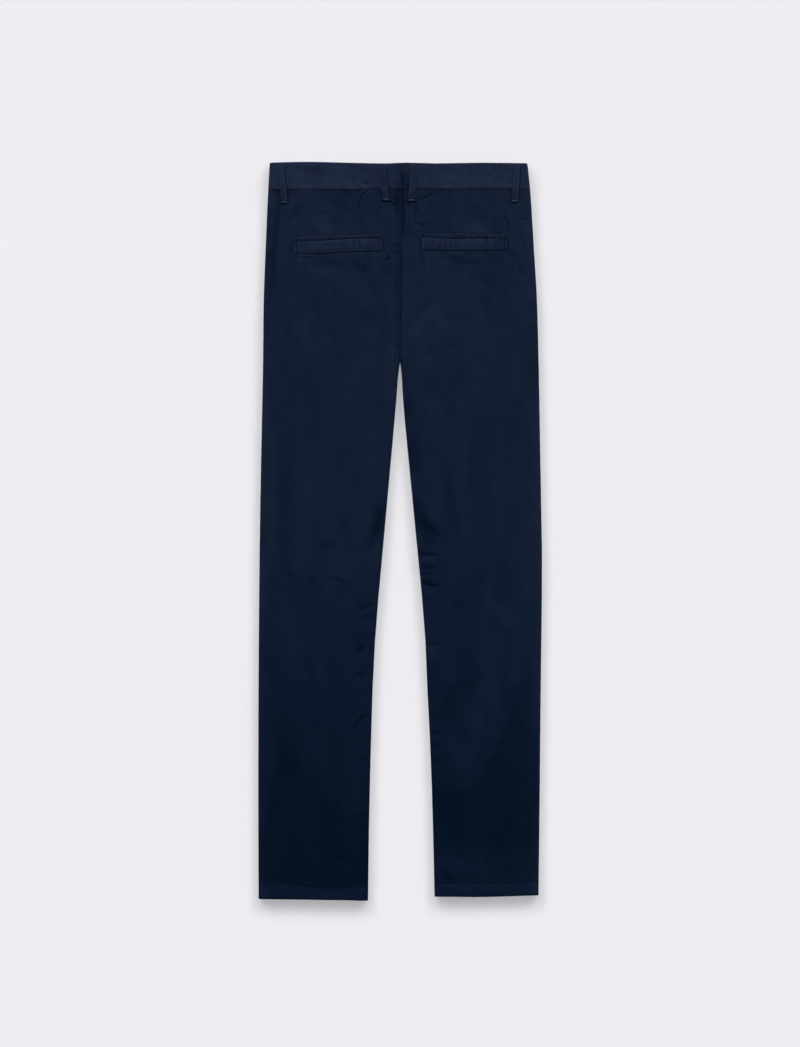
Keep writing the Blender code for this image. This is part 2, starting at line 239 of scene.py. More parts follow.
Crease = namedtuple("Crease", "x down end_x end_down bow width height roll")
BACK_CREASES = rows_of(
    Crease,
    # beside the centre back seam and round the loops
    (4.8, 39, 4.2, 112, -0.8, 1.3, -1.70, 0.40),
    (-13, 57.5, -4, 62, 1.0, 1.5, -0.95, 0.40),
    (28, 54.5, 49, 44.5, 1, 2.2, -0.99, 0.36),
    (23, 58, 19, 86, -1.5, 2.4, -1.10, 0.32),
    (19, 86, 37, 92, 1, 3, -0.60, 0.16),
    (-28, 60, -33, 80, 1, 3.5, -0.40, 0.16),
    # darts
    (-41, 37, -59.5, 57, 3.5, 1.5, -1.00, 0.50),
    (-44, 42, -55, 55, 3, 3.0, 0.45, 0.00),
    (-59.8, 56, -59.4, 74, 0.4, 1.4, -0.95, 0.50),
    (-57.5, 76, -55.2, 105, -0.6, 1.4, -0.95, 0.50),
    (135.6, 38, 136, 62, 0.4, 1.2, 0.95, 0.27),
    (136.2, 72, 136.6, 111, 0.4, 1.4, -0.90, 0.45),
    (-130, 42, -130.5, 96, 0.6, 1.8, -0.36, 0.22),
    (64, 42, 65, 98, 0.6, 2.2, -0.29, 0.18),
    # beside the side seams
    (-176.5, 56, -183, 112, -1.2, 3.6, -1.12, 0.48),
    (-183, 112, -187.5, 190, -0.6, 3.4, -0.88, 0.40),
    (180, 96, 187, 176, 1, 3.2, -0.56, -0.29),
    (-142, 60, -160, 86, 2, 2.6, -0.58, 0.29),
    (150.5, 73, 158.5, 97, 1.2, 2, -0.75, 0.45),
    (159, 124, 168, 144, 1.6, 3.4, -0.55, 0.32),
    (171, 138, 176, 164, 0.6, 3, -0.40, 0.16),
    (173, 80, 181, 83, 0.3, 1.6, -0.75, 0.15),
    (-147, 132, -128, 134.5, 0.5, 1.4, 0.55, 0.00),
    (-146, 136, -130, 138, 0.5, 1.8, -0.45, 0.10),
    (-121, 110, -118, 96, 0.4, 2, -0.35, 0.10),
    # round the pocket ends
    (-23.5, 122, -19, 134, 1.0, 1.3, -0.80, 0.30),
    (-28.5, 124, -24, 138, 0.8, 1.3, 0.55, 0.00),
    (-20, 123, -12, 135, 2.0, 1.4, 0.60, 0.00),
    (-23, 141.5, -13, 136, 0.4, 1.5, -1.40, 0.20),
    (-158, 118, -163, 140, -1, 3, -0.45, 0.19),
    (30, 128, 34, 153, -1.5, 1.6, -0.60, 0.10),
    (35, 128, 39, 150, -1, 4, 0.35, 0.05),
    (22, 104, 30, 119, 1, 2.4, -0.50, 0.18),
    # the seat
    (-120, 142, -78, 149, 3, 6, -0.49, 0.07),
    (-72, 150, -38, 158, 2, 6.5, -0.43, 0.07),
    (72, 140, 128, 147, 3, 5.5, -0.51, 0.08),
    (-112, 82, -88, 90, 1, 4, -0.42, 0.13),
    (-92, 56, -75, 75, 1.5, 3.4, -0.45, 0.15),
    (-106, 48, -94, 65, 1, 2.6, -0.35, 0.13),
    (-113, 72, -107, 75, 0.3, 2, -0.65, 0.10),
    (88, 72, 116, 66, 1.5, 4.5, -0.32, 0.10),
    (-14, 262, -60, 214, 5, 9, -0.49, 0.14),
    (10, 268, 62, 208, -6, 9, 0.58, 0.14),
    (16, 246, 84, 176, -8, 11, -0.49, 0.14),
    (-22, 236, -96, 172, 8, 12, 0.46, 0.14),
    (-18, 200, -24, 240, 1, 2.8, -0.72, 0.18),
    (-30, 276, -72, 262, 2, 6, -0.32, 0.09),
    (28, 284, 84, 262, -2, 6.5, -0.38, 0.09),
    # the left thigh and knee
    (-184, 330, -171, 590, -3, 8, -0.55, 0.10),
    (-160, 350, -152, 570, 2, 9, 0.15, 0.00),
    (-128, 300, -118, 470, 4, 11, -0.25, 0.07),
    (-96, 330, -88, 520, 3, 12, 0.25, 0.07),
    (-70, 470, -84, 600, 2, 9, -0.20, 0.09),
    (-28, 500, -48, 560, -2, 7, -1.05, 0.22),
    (-34, 430, -58, 400, 2, 5, -0.42, 0.10),
    (-36.5, 637, -62, 646, -1, 2.6, -1.00, 0.28),
    (-36, 655, -64, 666, 2, 3.6, -0.54, 0.19),
    (-51, 698, -63, 712, 1, 2.7, -1.70, 0.36),
    (-49, 741, -66, 741.5, 0.5, 1.8, -1.50, 0.27),
    (-47, 797, -67, 817, 2, 2.2, -1.17, 0.36),
    (-44, 860, -60, 866, 1, 2.4, -0.54, 0.18),
    (-166, 594, -140, 604, 1.5, 4, -0.60, 0.16),
    (-104, 598, -72, 609, 2, 2.8, -0.70, 0.22),
    (-118, 602, -132, 614, 1, 4, -0.40, 0.10),
    # the left calf
    (-166, 590, -106, 850, 10, 12, -0.35, 0.10),
    (-140, 600, -88, 800, 8, 11, 0.30, 0.14),
    (-188, 690, -160, 960, 4, 10, -0.30, 0.14),
    (-92, 820, -66, 942, 4, 7, -0.65, 0.17),
    (-130, 900, -120, 1030, 3, 11, 0.58, 0.07),
    (-104, 1010, -58, 1018, -4, 4, -0.64, 0.16),
    # the right thigh and knee
    (150, 268, 96, 452, 8, 11, -0.50, 0.17),
    (176, 330, 130, 560, 8, 12, -0.30, 0.05),
    (128, 330, 86, 500, 6, 11, 0.67, 0.12),
    (90, 300, 70, 380, 3, 9, -0.61, 0.12),
    (60, 420, 84, 540, 3, 9, -0.55, 0.12),
    (24, 514, 58, 542, 2, 6.5, -1.20, 0.29),
    (18, 380, 30, 470, 1, 5, -0.72, 0.16),
    (28, 566, 54, 567, 1, 2, -1.80, 0.36),
    (29, 577, 50, 576, 0.6, 2.2, 1.10, 0.00),
    (30, 586, 52, 585.5, 0.8, 1.9, -1.25, 0.36),
    (31, 596, 49, 594, 0.5, 1.8, -1.40, 0.27),
    (31, 606, 55, 613, 1.6, 2.8, -2.00, 0.45),
    (33, 621, 50, 624, 0.6, 2.2, 0.63, 0.00),
    (36, 697, 57, 695, 0.8, 2.1, -0.90, 0.22),
    (38, 734, 62, 722, 1, 2.6, -0.72, 0.18),
    (42, 806, 58, 803, 0.6, 1.9, -0.90, 0.22),
    (43, 824, 60, 827, 0.8, 1.9, -0.99, 0.25),
    (44, 842, 60, 844, 0.6, 1.9, -0.90, 0.25),
    (45, 862, 62, 870, 0.8, 2.1, -0.81, 0.22),
    # the right calf
    (162, 500, 112, 930, 12, 15, 0.35, 0.14),
    (186, 600, 132, 900, 10, 12, -0.25, 0.05),
    (114, 742, 56, 832, 17, 8, -0.62, 0.14),
    (68, 764, 84, 758, 1, 3, -0.50, 0.10),
    (84, 600, 92, 730, 3, 9, -0.61, 0.12),
    (72, 880, 84, 1000, 4, 10, -0.30, 0.09),
    (168, 900, 150, 1030, 5, 9, -0.30, 0.09),
    (62, 1020, 74, 1042, 1, 3.6, -1.10, 0.16),
    (94, 1028, 102, 1030, 1, 3.4, -0.90, 0.10),
    (116, 1002, 136, 1020, 2, 4, -0.60, 0.12),
    (150, 1030, 164, 1014, 2, 4, -0.75, 0.10),
    (130, 128, 131, 146, 0.3, 1.5, -0.50, 0.10),
)
FRONT_CREASES = rows_of(
    Crease,
    (-8, 262, -66, 226, 5.0, 8.0, 0.40, 0.10),
    (10, 256, 70, 218, -5.0, 8.0, 0.38, 0.10),
    (-20, 300, -110, 268, 6.0, 9.0, 0.35, 0.08),
    (24, 306, 118, 272, -6.0, 9.0, 0.36, 0.08),
    (-60, 590, -150, 604, 4.0, 6.0, 0.40, 0.10),
    (56, 574, 140, 590, -4.0, 6.0, 0.38, 0.10),
    (-150, 620, -96, 700, 4.0, 7.0, 0.32, 0.08),
    (146, 640, 92, 716, 4.0, 7.0, 0.34, 0.08),
    (-52, 700, -96, 716, 2.0, 4.0, 0.36, 0.10),
    (54, 690, 92, 704, 2.0, 4.0, 0.34, 0.10),
    (-120, 340, -116, 560, 5.0, 10.0, 0.34, 0.04),
    (122, 330, 118, 540, 5.0, 10.0, 0.34, 0.04),
    (-128, 780, -124, 980, 4.0, 9.0, 0.34, 0.04),
    (128, 800, 122, 1000, 4.0, 9.0, 0.32, 0.04),
)
BAND_CREASES = rows_of(
    Crease,
    (5.5, 8, 7.5, 37, 0.6, 2.2, -1.45, 0.60),
    (12.5, 12, 8, 30, -0.8, 2, -0.70, 0.30),
    (1, 10, 3.5, 34, 0.4, 1.6, -0.63, 0.27),
    (-134, 11, -131, 14, 0.4, 4, -0.45, 0.00),
    (-119.5, 10, -118, 15, 0.4, 3.6, -0.64, 0.00),
    (-148, 22, -150, 34, 0.6, 4, -0.35, 0.13),
    (-40, 27, -52, 36, 1, 3, -0.48, 0.16),
    (-61, 24, -56, 36, 1, 1.4, 0.60, 0.00),
    (-53, 29, -45, 36.5, -0.8, 1.5, -0.65, 0.10),
    (-66, 20, -64, 36, 1, 3, -0.29, 0.08),
    (27, 5, 28.5, 36, 0.3, 1.3, 0.45, 0.00),
    (46, 10, 52, 30, 1, 5, -0.32, 0.08),
    (96, 14, 90, 34, 1, 5, -0.29, 0.08),
    (135.6, 24, 136, 37, 0.3, 1.4, 0.45, 0.18),
    (152, 8, 156, 30, 1, 3.5, -0.35, 0.08),
)
CREASE_STEPS = 14
CREASE_REACH = 3.2
ROLL_GAIN = 1.6
TAPER_POWER = 0.55


def crease_height(crease, x, down):
    """The height that one crease gives at places x, down."""
    reach = CREASE_REACH * crease.width + abs(crease.bow)
    near = (x > min(crease.x, crease.end_x) - reach) & (x < max(crease.x, crease.end_x) + reach)
    near &= down > min(crease.down, crease.end_down) - reach
    near &= down < max(crease.down, crease.end_down) + reach
    height = np.zeros(np.shape(x))
    if not near.any():
        return height
    px, py = x[near], down[near]
    dx, dy = crease.end_x - crease.x, crease.end_down - crease.down
    length = math.hypot(dx, dy)
    best = np.full(px.shape, 1e9)
    signed, place = np.zeros(px.shape), np.zeros(px.shape)
    steps = [i / CREASE_STEPS for i in range(CREASE_STEPS + 1)]
    bows = [4 * crease.bow * t * (1 - t) / length for t in steps]
    path = [(crease.x + dx * t - dy * b, crease.down + dy * t + dx * b) for t, b in zip(steps, bows)]
    for i, ((ax, ay), (bx, by)) in enumerate(zip(path, path[1:])):
        ex, ey = bx - ax, by - ay
        t = np.clip(((px - ax) * ex + (py - ay) * ey) / (ex * ex + ey * ey), 0, 1)
        ox, oy = px - ax - t * ex, py - ay - t * ey
        distance = np.hypot(ox, oy)
        closer = distance < best
        best = np.where(closer, distance, best)
        signed = np.where(closer, np.sign(ex * oy - ey * ox) * distance, signed)
        place = np.where(closer, lerp(steps[i], steps[i + 1], t), place)
    taper = np.sin(math.pi * np.clip(place, 0.02, 0.98)) ** TAPER_POWER
    body = bell(best, crease.width)
    height[near] = (crease.height + crease.roll * ROLL_GAIN * signed / crease.width) * body * taper
    return height


def crease_field(creases, x, down):
    return sum(crease_height(crease, x, down) for crease in creases)


# How edges and seams run: the height of the waist's top edge, how far the waist seam hangs under its straight
# line, and how far the hems do.

Rim = namedtuple("Rim", "x drop")
WAIST_TOP = rows_of(
    Rim,
    (-188, -0.6), (-142, -1.7), (-113, -1.4), (-84, -0.7), (-49, 0.3), (-20, 0.6), (8, -0.5),
    (52, 0.5), (118, -0.4), (170, 0.1), (184, 0.2),
)
WAIST_SEAM = rows_of(
    Rim,
    (-188, 1.1), (-115, 1.1), (-70, 0.8), (-50, 0.2), (-38, -0.9), (-26, -0.3), (-16, 0.1), (50, 0.1),
    (78, 0.2), (112, -0.5), (140, -0.5), (185, -0.3),
)
HEM_RIM = rows_of(
    Rim,
    (-203, 0.2), (-130, 0.2), (-76, 0.2), (-60, 0.7), (-47, 0.6), (53, 0.0), (72, 0.2), (90, 0.8),
    (107, 1.2), (125, 1.2), (142, 1.0), (160, 0.7), (180, 0.2), (198, 0.0),
)
WAIST_SEAM_REACH = 14.0
HEM_RIM_REACH = 60.0
# the legs' slanting ends: the hem is lower at the inseam than at the side
HEM_SLOPE, HEM_SLOPE_START, HEM_SLOPE_RUN = 1.0, 970.0, 100.0

# Belt loops: folded strips, tacked down at both ends, whose one long edge stands up a little.

FRONT_LOOP_OUT = 95.0
Loop = namedtuple("Loop", "name face side out lean width tilt end tone line low_shade tack")
LOOPS = rows_of(
    Loop,
    ("side_left", "back", "left", 170.2, -2.4, 9.8, -0.9, 58.2, 1.02, 0.50, 0.05, 0.64),
    ("centre_left", "back", "left", 23.3, -3.2, 10.3, -0.9, 54.4, 0.82, 0.50, 0.20, 0.54),
    ("centre_right", "back", "right", 17.9, -1.45, 10.8, -0.8, 55.4, 0.90, 0.20, 0.10, 0.72),
    ("side_right", "back", "right", 167.2, -2.2, 10.4, 0.9, 56.8, 1.0, 0.50, 0.04, 0.68),
    ("front_left", "front", "left", FRONT_LOOP_OUT, 0.0, 11.4, 0.0, 57.2, 0.93, 0.0, 0.0, 0.74),
    ("front_right", "front", "right", FRONT_LOOP_OUT, 0.0, 11.4, 0.0, 57.2, 0.93, 0.0, 0.0, 0.74),
)
LOOP_START = 2.4
LOOP_THICK = 1.2
LOOP_STAND = 0.35


def loops_of(side):
    return [loop for loop in LOOPS if loop.side == side and loop.face == "back"]


def loop_middle(loop, down):
    """How far out a loop's middle line is: it leans, and wavers a little."""
    share = (down - LOOP_START) / (loop.end - LOOP_START)
    return loop.out + loop.lean * (2 * share - 1) + 0.35 * np.sin(share * 5 + loop.out)


# painted shade: the line beside a raised edge, the low edge's shade and the line under the end, with their
# places
LOOP_LINE_ON_PANEL, LOOP_LINE_WIDTH, LOOP_LINE_ASIDE = 0.10, 0.85, 0.7
LOOP_SHADE_WIDTH, LOOP_SHADE_ASIDE = 1.4, 0.8
LOOP_END_SHADE, LOOP_END_BELOW = Line(0.42, 1.3), 1.0


def loop_shade(side, out, down):
    """The painted shadow beside each loop's raised edge, and soft painted shade beside its low edge and under
    its end.
    """
    shade = 0.0
    on_panel = smooth((down - BAND_HEIGHT) / 3)
    for loop in loops_of(side):
        along = smooth((down - LOOP_START - 1) / 4) * (1 - smooth((down - loop.end + 2) / 3))
        across, half = np.sign(loop.tilt) * (out - loop_middle(loop, down)), loop.width / 2
        line = Line(lerp(loop.line, LOOP_LINE_ON_PANEL, on_panel), LOOP_LINE_WIDTH)
        shade = shade + along * line_at(line, across - half - LOOP_LINE_ASIDE)
        low = Line(loop.low_shade, LOOP_SHADE_WIDTH)
        shade = shade + along * on_panel * line_at(low, across + half + LOOP_SHADE_ASIDE)
        under = plateau(np.abs(across), half - 0.6, half + 1.4)
        shade = shade + under * line_at(LOOP_END_SHADE, down - loop.end - LOOP_END_BELOW)
    return shade


# The back pockets: a stitched welt, and a narrow lip above its opening.

Welt = namedtuple("Welt", "side inner_out outer_out inner_down outer_down height seed")
WELTS = rows_of(
    Welt,
    ("left", 26.2, 153.6, 108.6, 112.8, 17.6, 3.0),
    ("right", 31.8, 154.5, 107.4, 108.4, 18.0, 5.0),
)
WELT_THICK, WELT_BED = 1.15, 0.95
LIP_HEIGHT, LIP_INSET, LIP_THICK, LIP_BED = 5.6, 3.5, 0.8, 0.55
BED_LINE, BED_LINE_ASIDE, BED_EDGE, BED_SLOPE = Line(0.30, 1.0), 0.9, 0.3, 1.6
# the painted shadow lines below a welt and at its ends
WELT_UNDERLINE, WELT_END_LINE, WELT_LINE_ASIDE = Line(0.28, 0.9), Line(0.05, 0.7), 0.6
# the waves in each welt's upper and lower edges, and the folds across it
Wave = namedtuple("Wave", "out upper_left lower_left upper_right lower_right")
WELT_WAVES = rows_of(
    Wave,
    (26, 0.6, 0.8, 0.3, 0.0), (36, 0.8, 0.6, 0.6, 0.0), (48, 0.6, 0.3, 1.0, 0.1),
    (59, 0.3, 0.2, 1.7, 0.2), (75, 0.1, 0.2, 2.2, 0.4), (98, 0.5, 0.9, 2.2, 0.4),
    (114, 1.3, 1.5, 1.8, 0.0), (130, 1.5, 1.3, 1.6, 0.0), (145, 1.5, 0.9, 2.2, -0.5),
    (156, 1.0, 0.4, 2.0, -1.4),
)
Fold = namedtuple("Fold", "side out width height")
WELT_FOLDS = rows_of(
    Fold,
    ("left", 112.0, 1.6, -0.45),
    ("left", 106.0, 1.7, -0.50),
    ("left", 109.0, 1.3, 0.30),
    ("left", 67.0, 1.7, -0.55),
    ("left", 70.6, 1.2, 0.35),
    ("left", 58.4, 1.5, -0.75),
    ("left", 62.0, 1.2, 0.35),
    ("left", 53.0, 1.5, 0.30),
    ("left", 84.0, 2.6, -0.25),
    ("left", 132.0, 3.5, -0.22),
    ("left", 36.0, 2.2, -0.30),
    ("right", 49.0, 1.7, -0.65),
    ("right", 53.4, 1.3, 0.35),
    ("right", 58.4, 1.5, -0.70),
    ("right", 62.0, 1.2, 0.35),
    ("right", 65.4, 1.3, -0.75),
    ("right", 69.5, 1.2, 0.35),
    ("right", 73.2, 1.4, -0.65),
    ("right", 80.4, 1.5, -0.60),
    ("right", 77.0, 1.2, 0.30),
    ("right", 125.0, 2.6, -0.75),
    ("right", 131.0, 1.6, 0.30),
    ("right", 136.0, 1.6, -0.35),
    ("right", 143.0, 3.0, -0.55),
    ("right", 148.0, 1.8, 0.20),
)


def welt_line(welt, out):
    """The straight line that a welt's upper edge follows."""
    return lerp(welt.inner_down, welt.outer_down, (out - welt.inner_out) / (welt.outer_out - welt.inner_out))


def welt_upper(welt, out):
    return welt_line(welt, out) + table(WELT_WAVES, out, f"upper_{welt.side}")


def welt_lower(welt, out):
    return welt_line(welt, out) + welt.height + table(WELT_WAVES, out, f"lower_{welt.side}")


def lip_upper(welt, out):
    return welt_line(welt, out) - SEAM_GAP - LIP_HEIGHT


def lip_lower(welt, out):
    return welt_upper(welt, out) - SEAM_GAP


def beside_welt(welt, out):
    """How far a place lies beyond a welt's nearer end. It is negative between the ends."""
    return np.maximum(welt.inner_out - out, out - welt.outer_out)


def welt_folds(welt, out):
    folds = [fold for fold in WELT_FOLDS if fold.side == welt.side]
    return sum(fold.height * bell(out - fold.out, fold.width) for fold in folds)


def welt_shade(welt, out, down):
    """The painted shadow lines just below a welt's lower edge and beside its ends."""
    below = down - welt_lower(welt, out)
    inside = smooth((out - welt.inner_out + 1) / 4) * smooth((welt.outer_out - 4 - out) / 24)
    middle = (down > welt_upper(welt, out)) & (below < 0)
    ends = line_at(WELT_END_LINE, beside_welt(welt, out) - WELT_LINE_ASIDE)
    return inside * line_at(WELT_UNDERLINE, below - WELT_LINE_ASIDE) + middle * ends


def welt_bed(welt, out, down):
    """The panel's dip under a welt and, less deep, under its lip, with a pressed line all round."""
    upper, beside = welt_upper(welt, out), beside_welt(welt, out)
    aside = np.maximum(beside, np.maximum(upper - down, down - welt_lower(welt, out)))
    above = np.maximum(beside + LIP_INSET, np.maximum(welt_line(welt, out) - LIP_HEIGHT - down, down - upper))
    bed = WELT_BED * (1 - smooth((aside + BED_EDGE) / BED_SLOPE)) + line_at(BED_LINE, aside - BED_LINE_ASIDE)
    return -np.maximum(bed, LIP_BED * (1 - smooth((above + BED_EDGE) / BED_SLOPE)))


# How the back stands at each place, in millimetres over its plain form.

BACK_SEAM_LEAN = 3.5
SEAM_GROOVE, SEAM_PUCKER = Line(-0.60, 1.2), Pucker(0.14, 8.0, 11.5, 2.0)
SEAM_FOLD_HEIGHT, SEAM_FOLD_MIDDLE, SEAM_FOLD_FLAT, SEAM_FOLD_REACH = 0.25, -4.2, 2.6, 4.4
# the centre back seam's relief fades out over the crotch
SEAM_END, SEAM_FADE = CROTCH + 4, 8.0
Stitching = namedtuple("Stitching", "x phase")
SEAM_ROWS = rows_of(Stitching, (-7.2, 0.0), (-2.6, 2.2))
DIMPLE_PITCH, DIMPLE_LEAST, DIMPLE_VARIES, DIMPLE_WIDTH = 5.3, 0.20, 1.00, 1.3
# the short ribs across the seam between the two middle belt loops
RIB_DEPTH, RIB_WAVE, RIB_PITCH = -0.35, 0.22, 4.3
RIBS_X, RIBS_WIDTH, RIBS_END = -4.0, 7.5, 62.0
# how the panel rises to the band, the groove right at the seam, and the dips at a loop's end and round it
WAIST_RISE, WAIST_REACH, WAIST_PUCKER, WAIST_PUCKER_SPACING = 0.95, 7.0, 0.12, 9.5
WAIST_GROOVE, WAIST_GROOVE_REACH = 0.80, 0.6
LOOP_END_DIP, LOOP_DIP, LOOP_DIP_DOWN = Line(-1.0, 1.3), -0.5, 48.0
HEM_PUCKER, HEM_PUCKER_UP = Pucker(0.20, 9.0, 7.5, 7.0), 0.6 * HEM_DEPTH
HEM_GROOVE, HEM_EDGE, HEM_FULLNESS = Line(-0.22, 1.2), Line(-0.45, 1.6), 0.30
INSEAM_PUCKER, SIDE_PUCKER = Pucker(0.22, 9.0, 13.0, 4.0), Pucker(0.10, 8.0, 15.0, 6.0)
# the share of relief left right at an edge, and that of the fine swells below the seat
EDGE_SHARE = 0.25
BUSY_LEAST, BUSY_END, BUSY_RUN = 0.45, 330.0, 90.0
BACK_SWELL = Swell(0.22, 74, 10, 2.6)
BACK_FINE_SWELLS = rows_of(Swell, (0.15, 22, 20, 1.5), (0.07, 9, 30, 1.3))


def back_seam_x(down):
    """The centre back seam leans from the waist to the crotch."""
    return BACK_SEAM_LEAN * (1 - np.clip(down / CROTCH, 0, 1))


def back_seam_relief(x, down):
    """The centre back seam, folded over to the wearer's left and held by two rows that dimple it."""
    from_seam = x - back_seam_x(down)
    fold = plateau(np.abs(from_seam - SEAM_FOLD_MIDDLE), SEAM_FOLD_FLAT, SEAM_FOLD_REACH)
    relief = line_at(SEAM_GROOVE, from_seam) + SEAM_FOLD_HEIGHT * fold
    for row in SEAM_ROWS:
        turn = 2 * math.pi * down / DIMPLE_PITCH + row.phase + 0.8 * np.sin(down / 13)
        dimple = DIMPLE_LEAST + DIMPLE_VARIES * (0.5 + 0.5 * np.cos(turn)) ** 2
        relief -= dimple * bell(from_seam - row.x, DIMPLE_WIDTH)
    relief += pucker_at(SEAM_PUCKER, np.abs(from_seam + 2), down + 0.4 * from_seam)
    between_loops = bell(x - RIBS_X, RIBS_WIDTH) * smooth((RIBS_END - down) / 5)
    ribs = RIB_DEPTH + RIB_WAVE * np.sin(2 * math.pi * down / RIB_PITCH + 0.5)
    return relief * smooth((SEAM_END - down) / SEAM_FADE) + between_loops * ribs


def waist_relief(side, out, down):
    """The panel rises to lie flush with the band, and dips round the ends of the belt loops."""
    below_band = np.maximum(down - BAND_HEIGHT, 0)
    risen = WAIST_RISE + WAIST_PUCKER * puckers(SIGN[side] * out, WAIST_PUCKER_SPACING, 3.0 + SIGN[side])
    relief = risen * fading(below_band, WAIST_REACH) - WAIST_GROOVE * fading(below_band, WAIST_GROOVE_REACH)
    for loop in loops_of(side):
        aside = np.abs(loop.out + loop.lean - out)
        relief += plateau(aside, 4.4, 7.0) * line_at(LOOP_END_DIP, down - loop.end - 1.1)
        relief += LOOP_DIP * plateau(aside, 5.0, 8.0) * plateau(np.abs(down - LOOP_DIP_DOWN), 9.5, 11.0)
    return relief


def hem_relief(side, out, down):
    """The turned-up hem: a stitched groove, a fuller band below it and puckers across it."""
    up = HEM[side] - down
    along = SIGN[side] * (out + 0.25 * up)
    pulled = pucker_at(HEM_PUCKER, np.abs(up - HEM_PUCKER_UP), along, SIGN[side]) * smooth((up + 8) / 8)
    full = HEM_FULLNESS * smooth((HEM_DEPTH + 1 - up) / 3)
    return full + line_at(HEM_GROOVE, up - HEM_DEPTH) + pulled + line_at(HEM_EDGE, up)


def settled(side, face, out, down):
    """The share of relief that is left where the cloth turns over at its edges."""
    inner, edge = inner_edge(side, face, down), side_edge(side, down)
    leg = lerp(1.0, smooth((out - inner) / CURL), smooth((down - CROTCH) / 20))
    return lerp(EDGE_SHARE, 1.0, smooth((edge - out) / CURL) * leg)


def back_relief(side, out, down):
    sign = SIGN[side]
    x = sign * out
    inner, edge = inner_edge(side, "back", down), side_edge(side, down)
    relief = crease_field([c for c in BACK_CREASES if c.x * sign > -14], x, down)
    seed = 1 if side == "left" else 2
    busy = lerp(BUSY_LEAST, 1.0, smooth((BUSY_END - down) / BUSY_RUN))
    relief += swell(BACK_SWELL, x, down, seed) + busy * swells(BACK_FINE_SWELLS, x, down, seed)
    relief += back_seam_relief(x, down) + waist_relief(side, out, down)
    for welt in WELTS:
        if welt.side == side:
            relief += welt_bed(welt, out, down)
    # the inseam's short creases and the side seam's pull
    leg = smooth((down - CROTCH - 6) / 30)
    relief += leg * pucker_at(INSEAM_PUCKER, out - inner, down + 0.3 * out, sign)
    relief += pucker_at(SIDE_PUCKER, edge - out, down - 0.2 * out, sign)
    return (relief + hem_relief(side, out, down)) * settled(side, "back", out, down)


# The front lies face down, so what stands up off its plain form is hollow. It rises over loops and button.

FRONT_SWELLS = rows_of(Swell, (0.14, 70, 40, 2.2), (0.05, 20, 42, 1.6))
FRONT_STAND = 0.16
FRONT_SEAM, FRONT_HEM_LINE, FRONT_HEM_PUCKER = Line(0.45, 1.0), Line(0.35, 1.0), Pucker(0.10, 9.0, 8.0, 9.0)
Lift = namedtuple("Lift", "height flat reach level_end")
LOOP_LIFT = Lift(1.9, 8.0, 22.0, 65.0)
BUTTON_LIFT = Lift(2.5, 12.0, 30.0, BAND_HEIGHT)
LIFT_END = 90.0
BUTTON_X = -8.0


def front_relief(side, out, down):
    """Millimetres by which the front stands up off its plain form. It never reaches below the surface."""
    sign = SIGN[side]
    x = sign * out
    relief = crease_field([c for c in FRONT_CREASES if c.x * sign > 0], x, down)
    relief += FRONT_STAND + swells(FRONT_SWELLS, x, down, 1 if side == "left" else 2)
    seam = line_at(FRONT_SEAM, out - inner_edge(side, "front", down))
    relief += seam * smooth((SEAM_END - down) / SEAM_FADE)
    up = HEM[side] - down
    above_hem = np.abs(up - HEM_PUCKER_UP)
    relief += line_at(FRONT_HEM_LINE, up - HEM_DEPTH) + pucker_at(FRONT_HEM_PUCKER, above_hem, x, sign)
    relief += FRONT_HEM_PUCKER.height * fading(above_hem, FRONT_HEM_PUCKER.reach)
    return np.maximum(relief, 0.0) * settled(side, "front", out, down)


def lifted(lift, distance, down):
    aside = plateau(np.abs(distance), lift.flat, lift.reach)
    return lift.height * aside * plateau(down, lift.level_end, LIFT_END)


def front_lift(side, out, down):
    over_loop = lifted(LOOP_LIFT, out - FRONT_LOOP_OUT, down)
    return np.maximum(over_loop, lifted(BUTTON_LIFT, SIGN[side] * out - BUTTON_X, down))


# Relief past the first depth is pressed together, so that the back and the front stay clear of each other.
DEEP, DEEP_REST = 1.4, 0.9


def pressed(relief):
    over = np.maximum(np.abs(relief) - DEEP, 0)
    return np.clip(relief, -DEEP, DEEP) + np.sign(relief) * DEEP_REST * np.tanh(over / DEEP_REST)


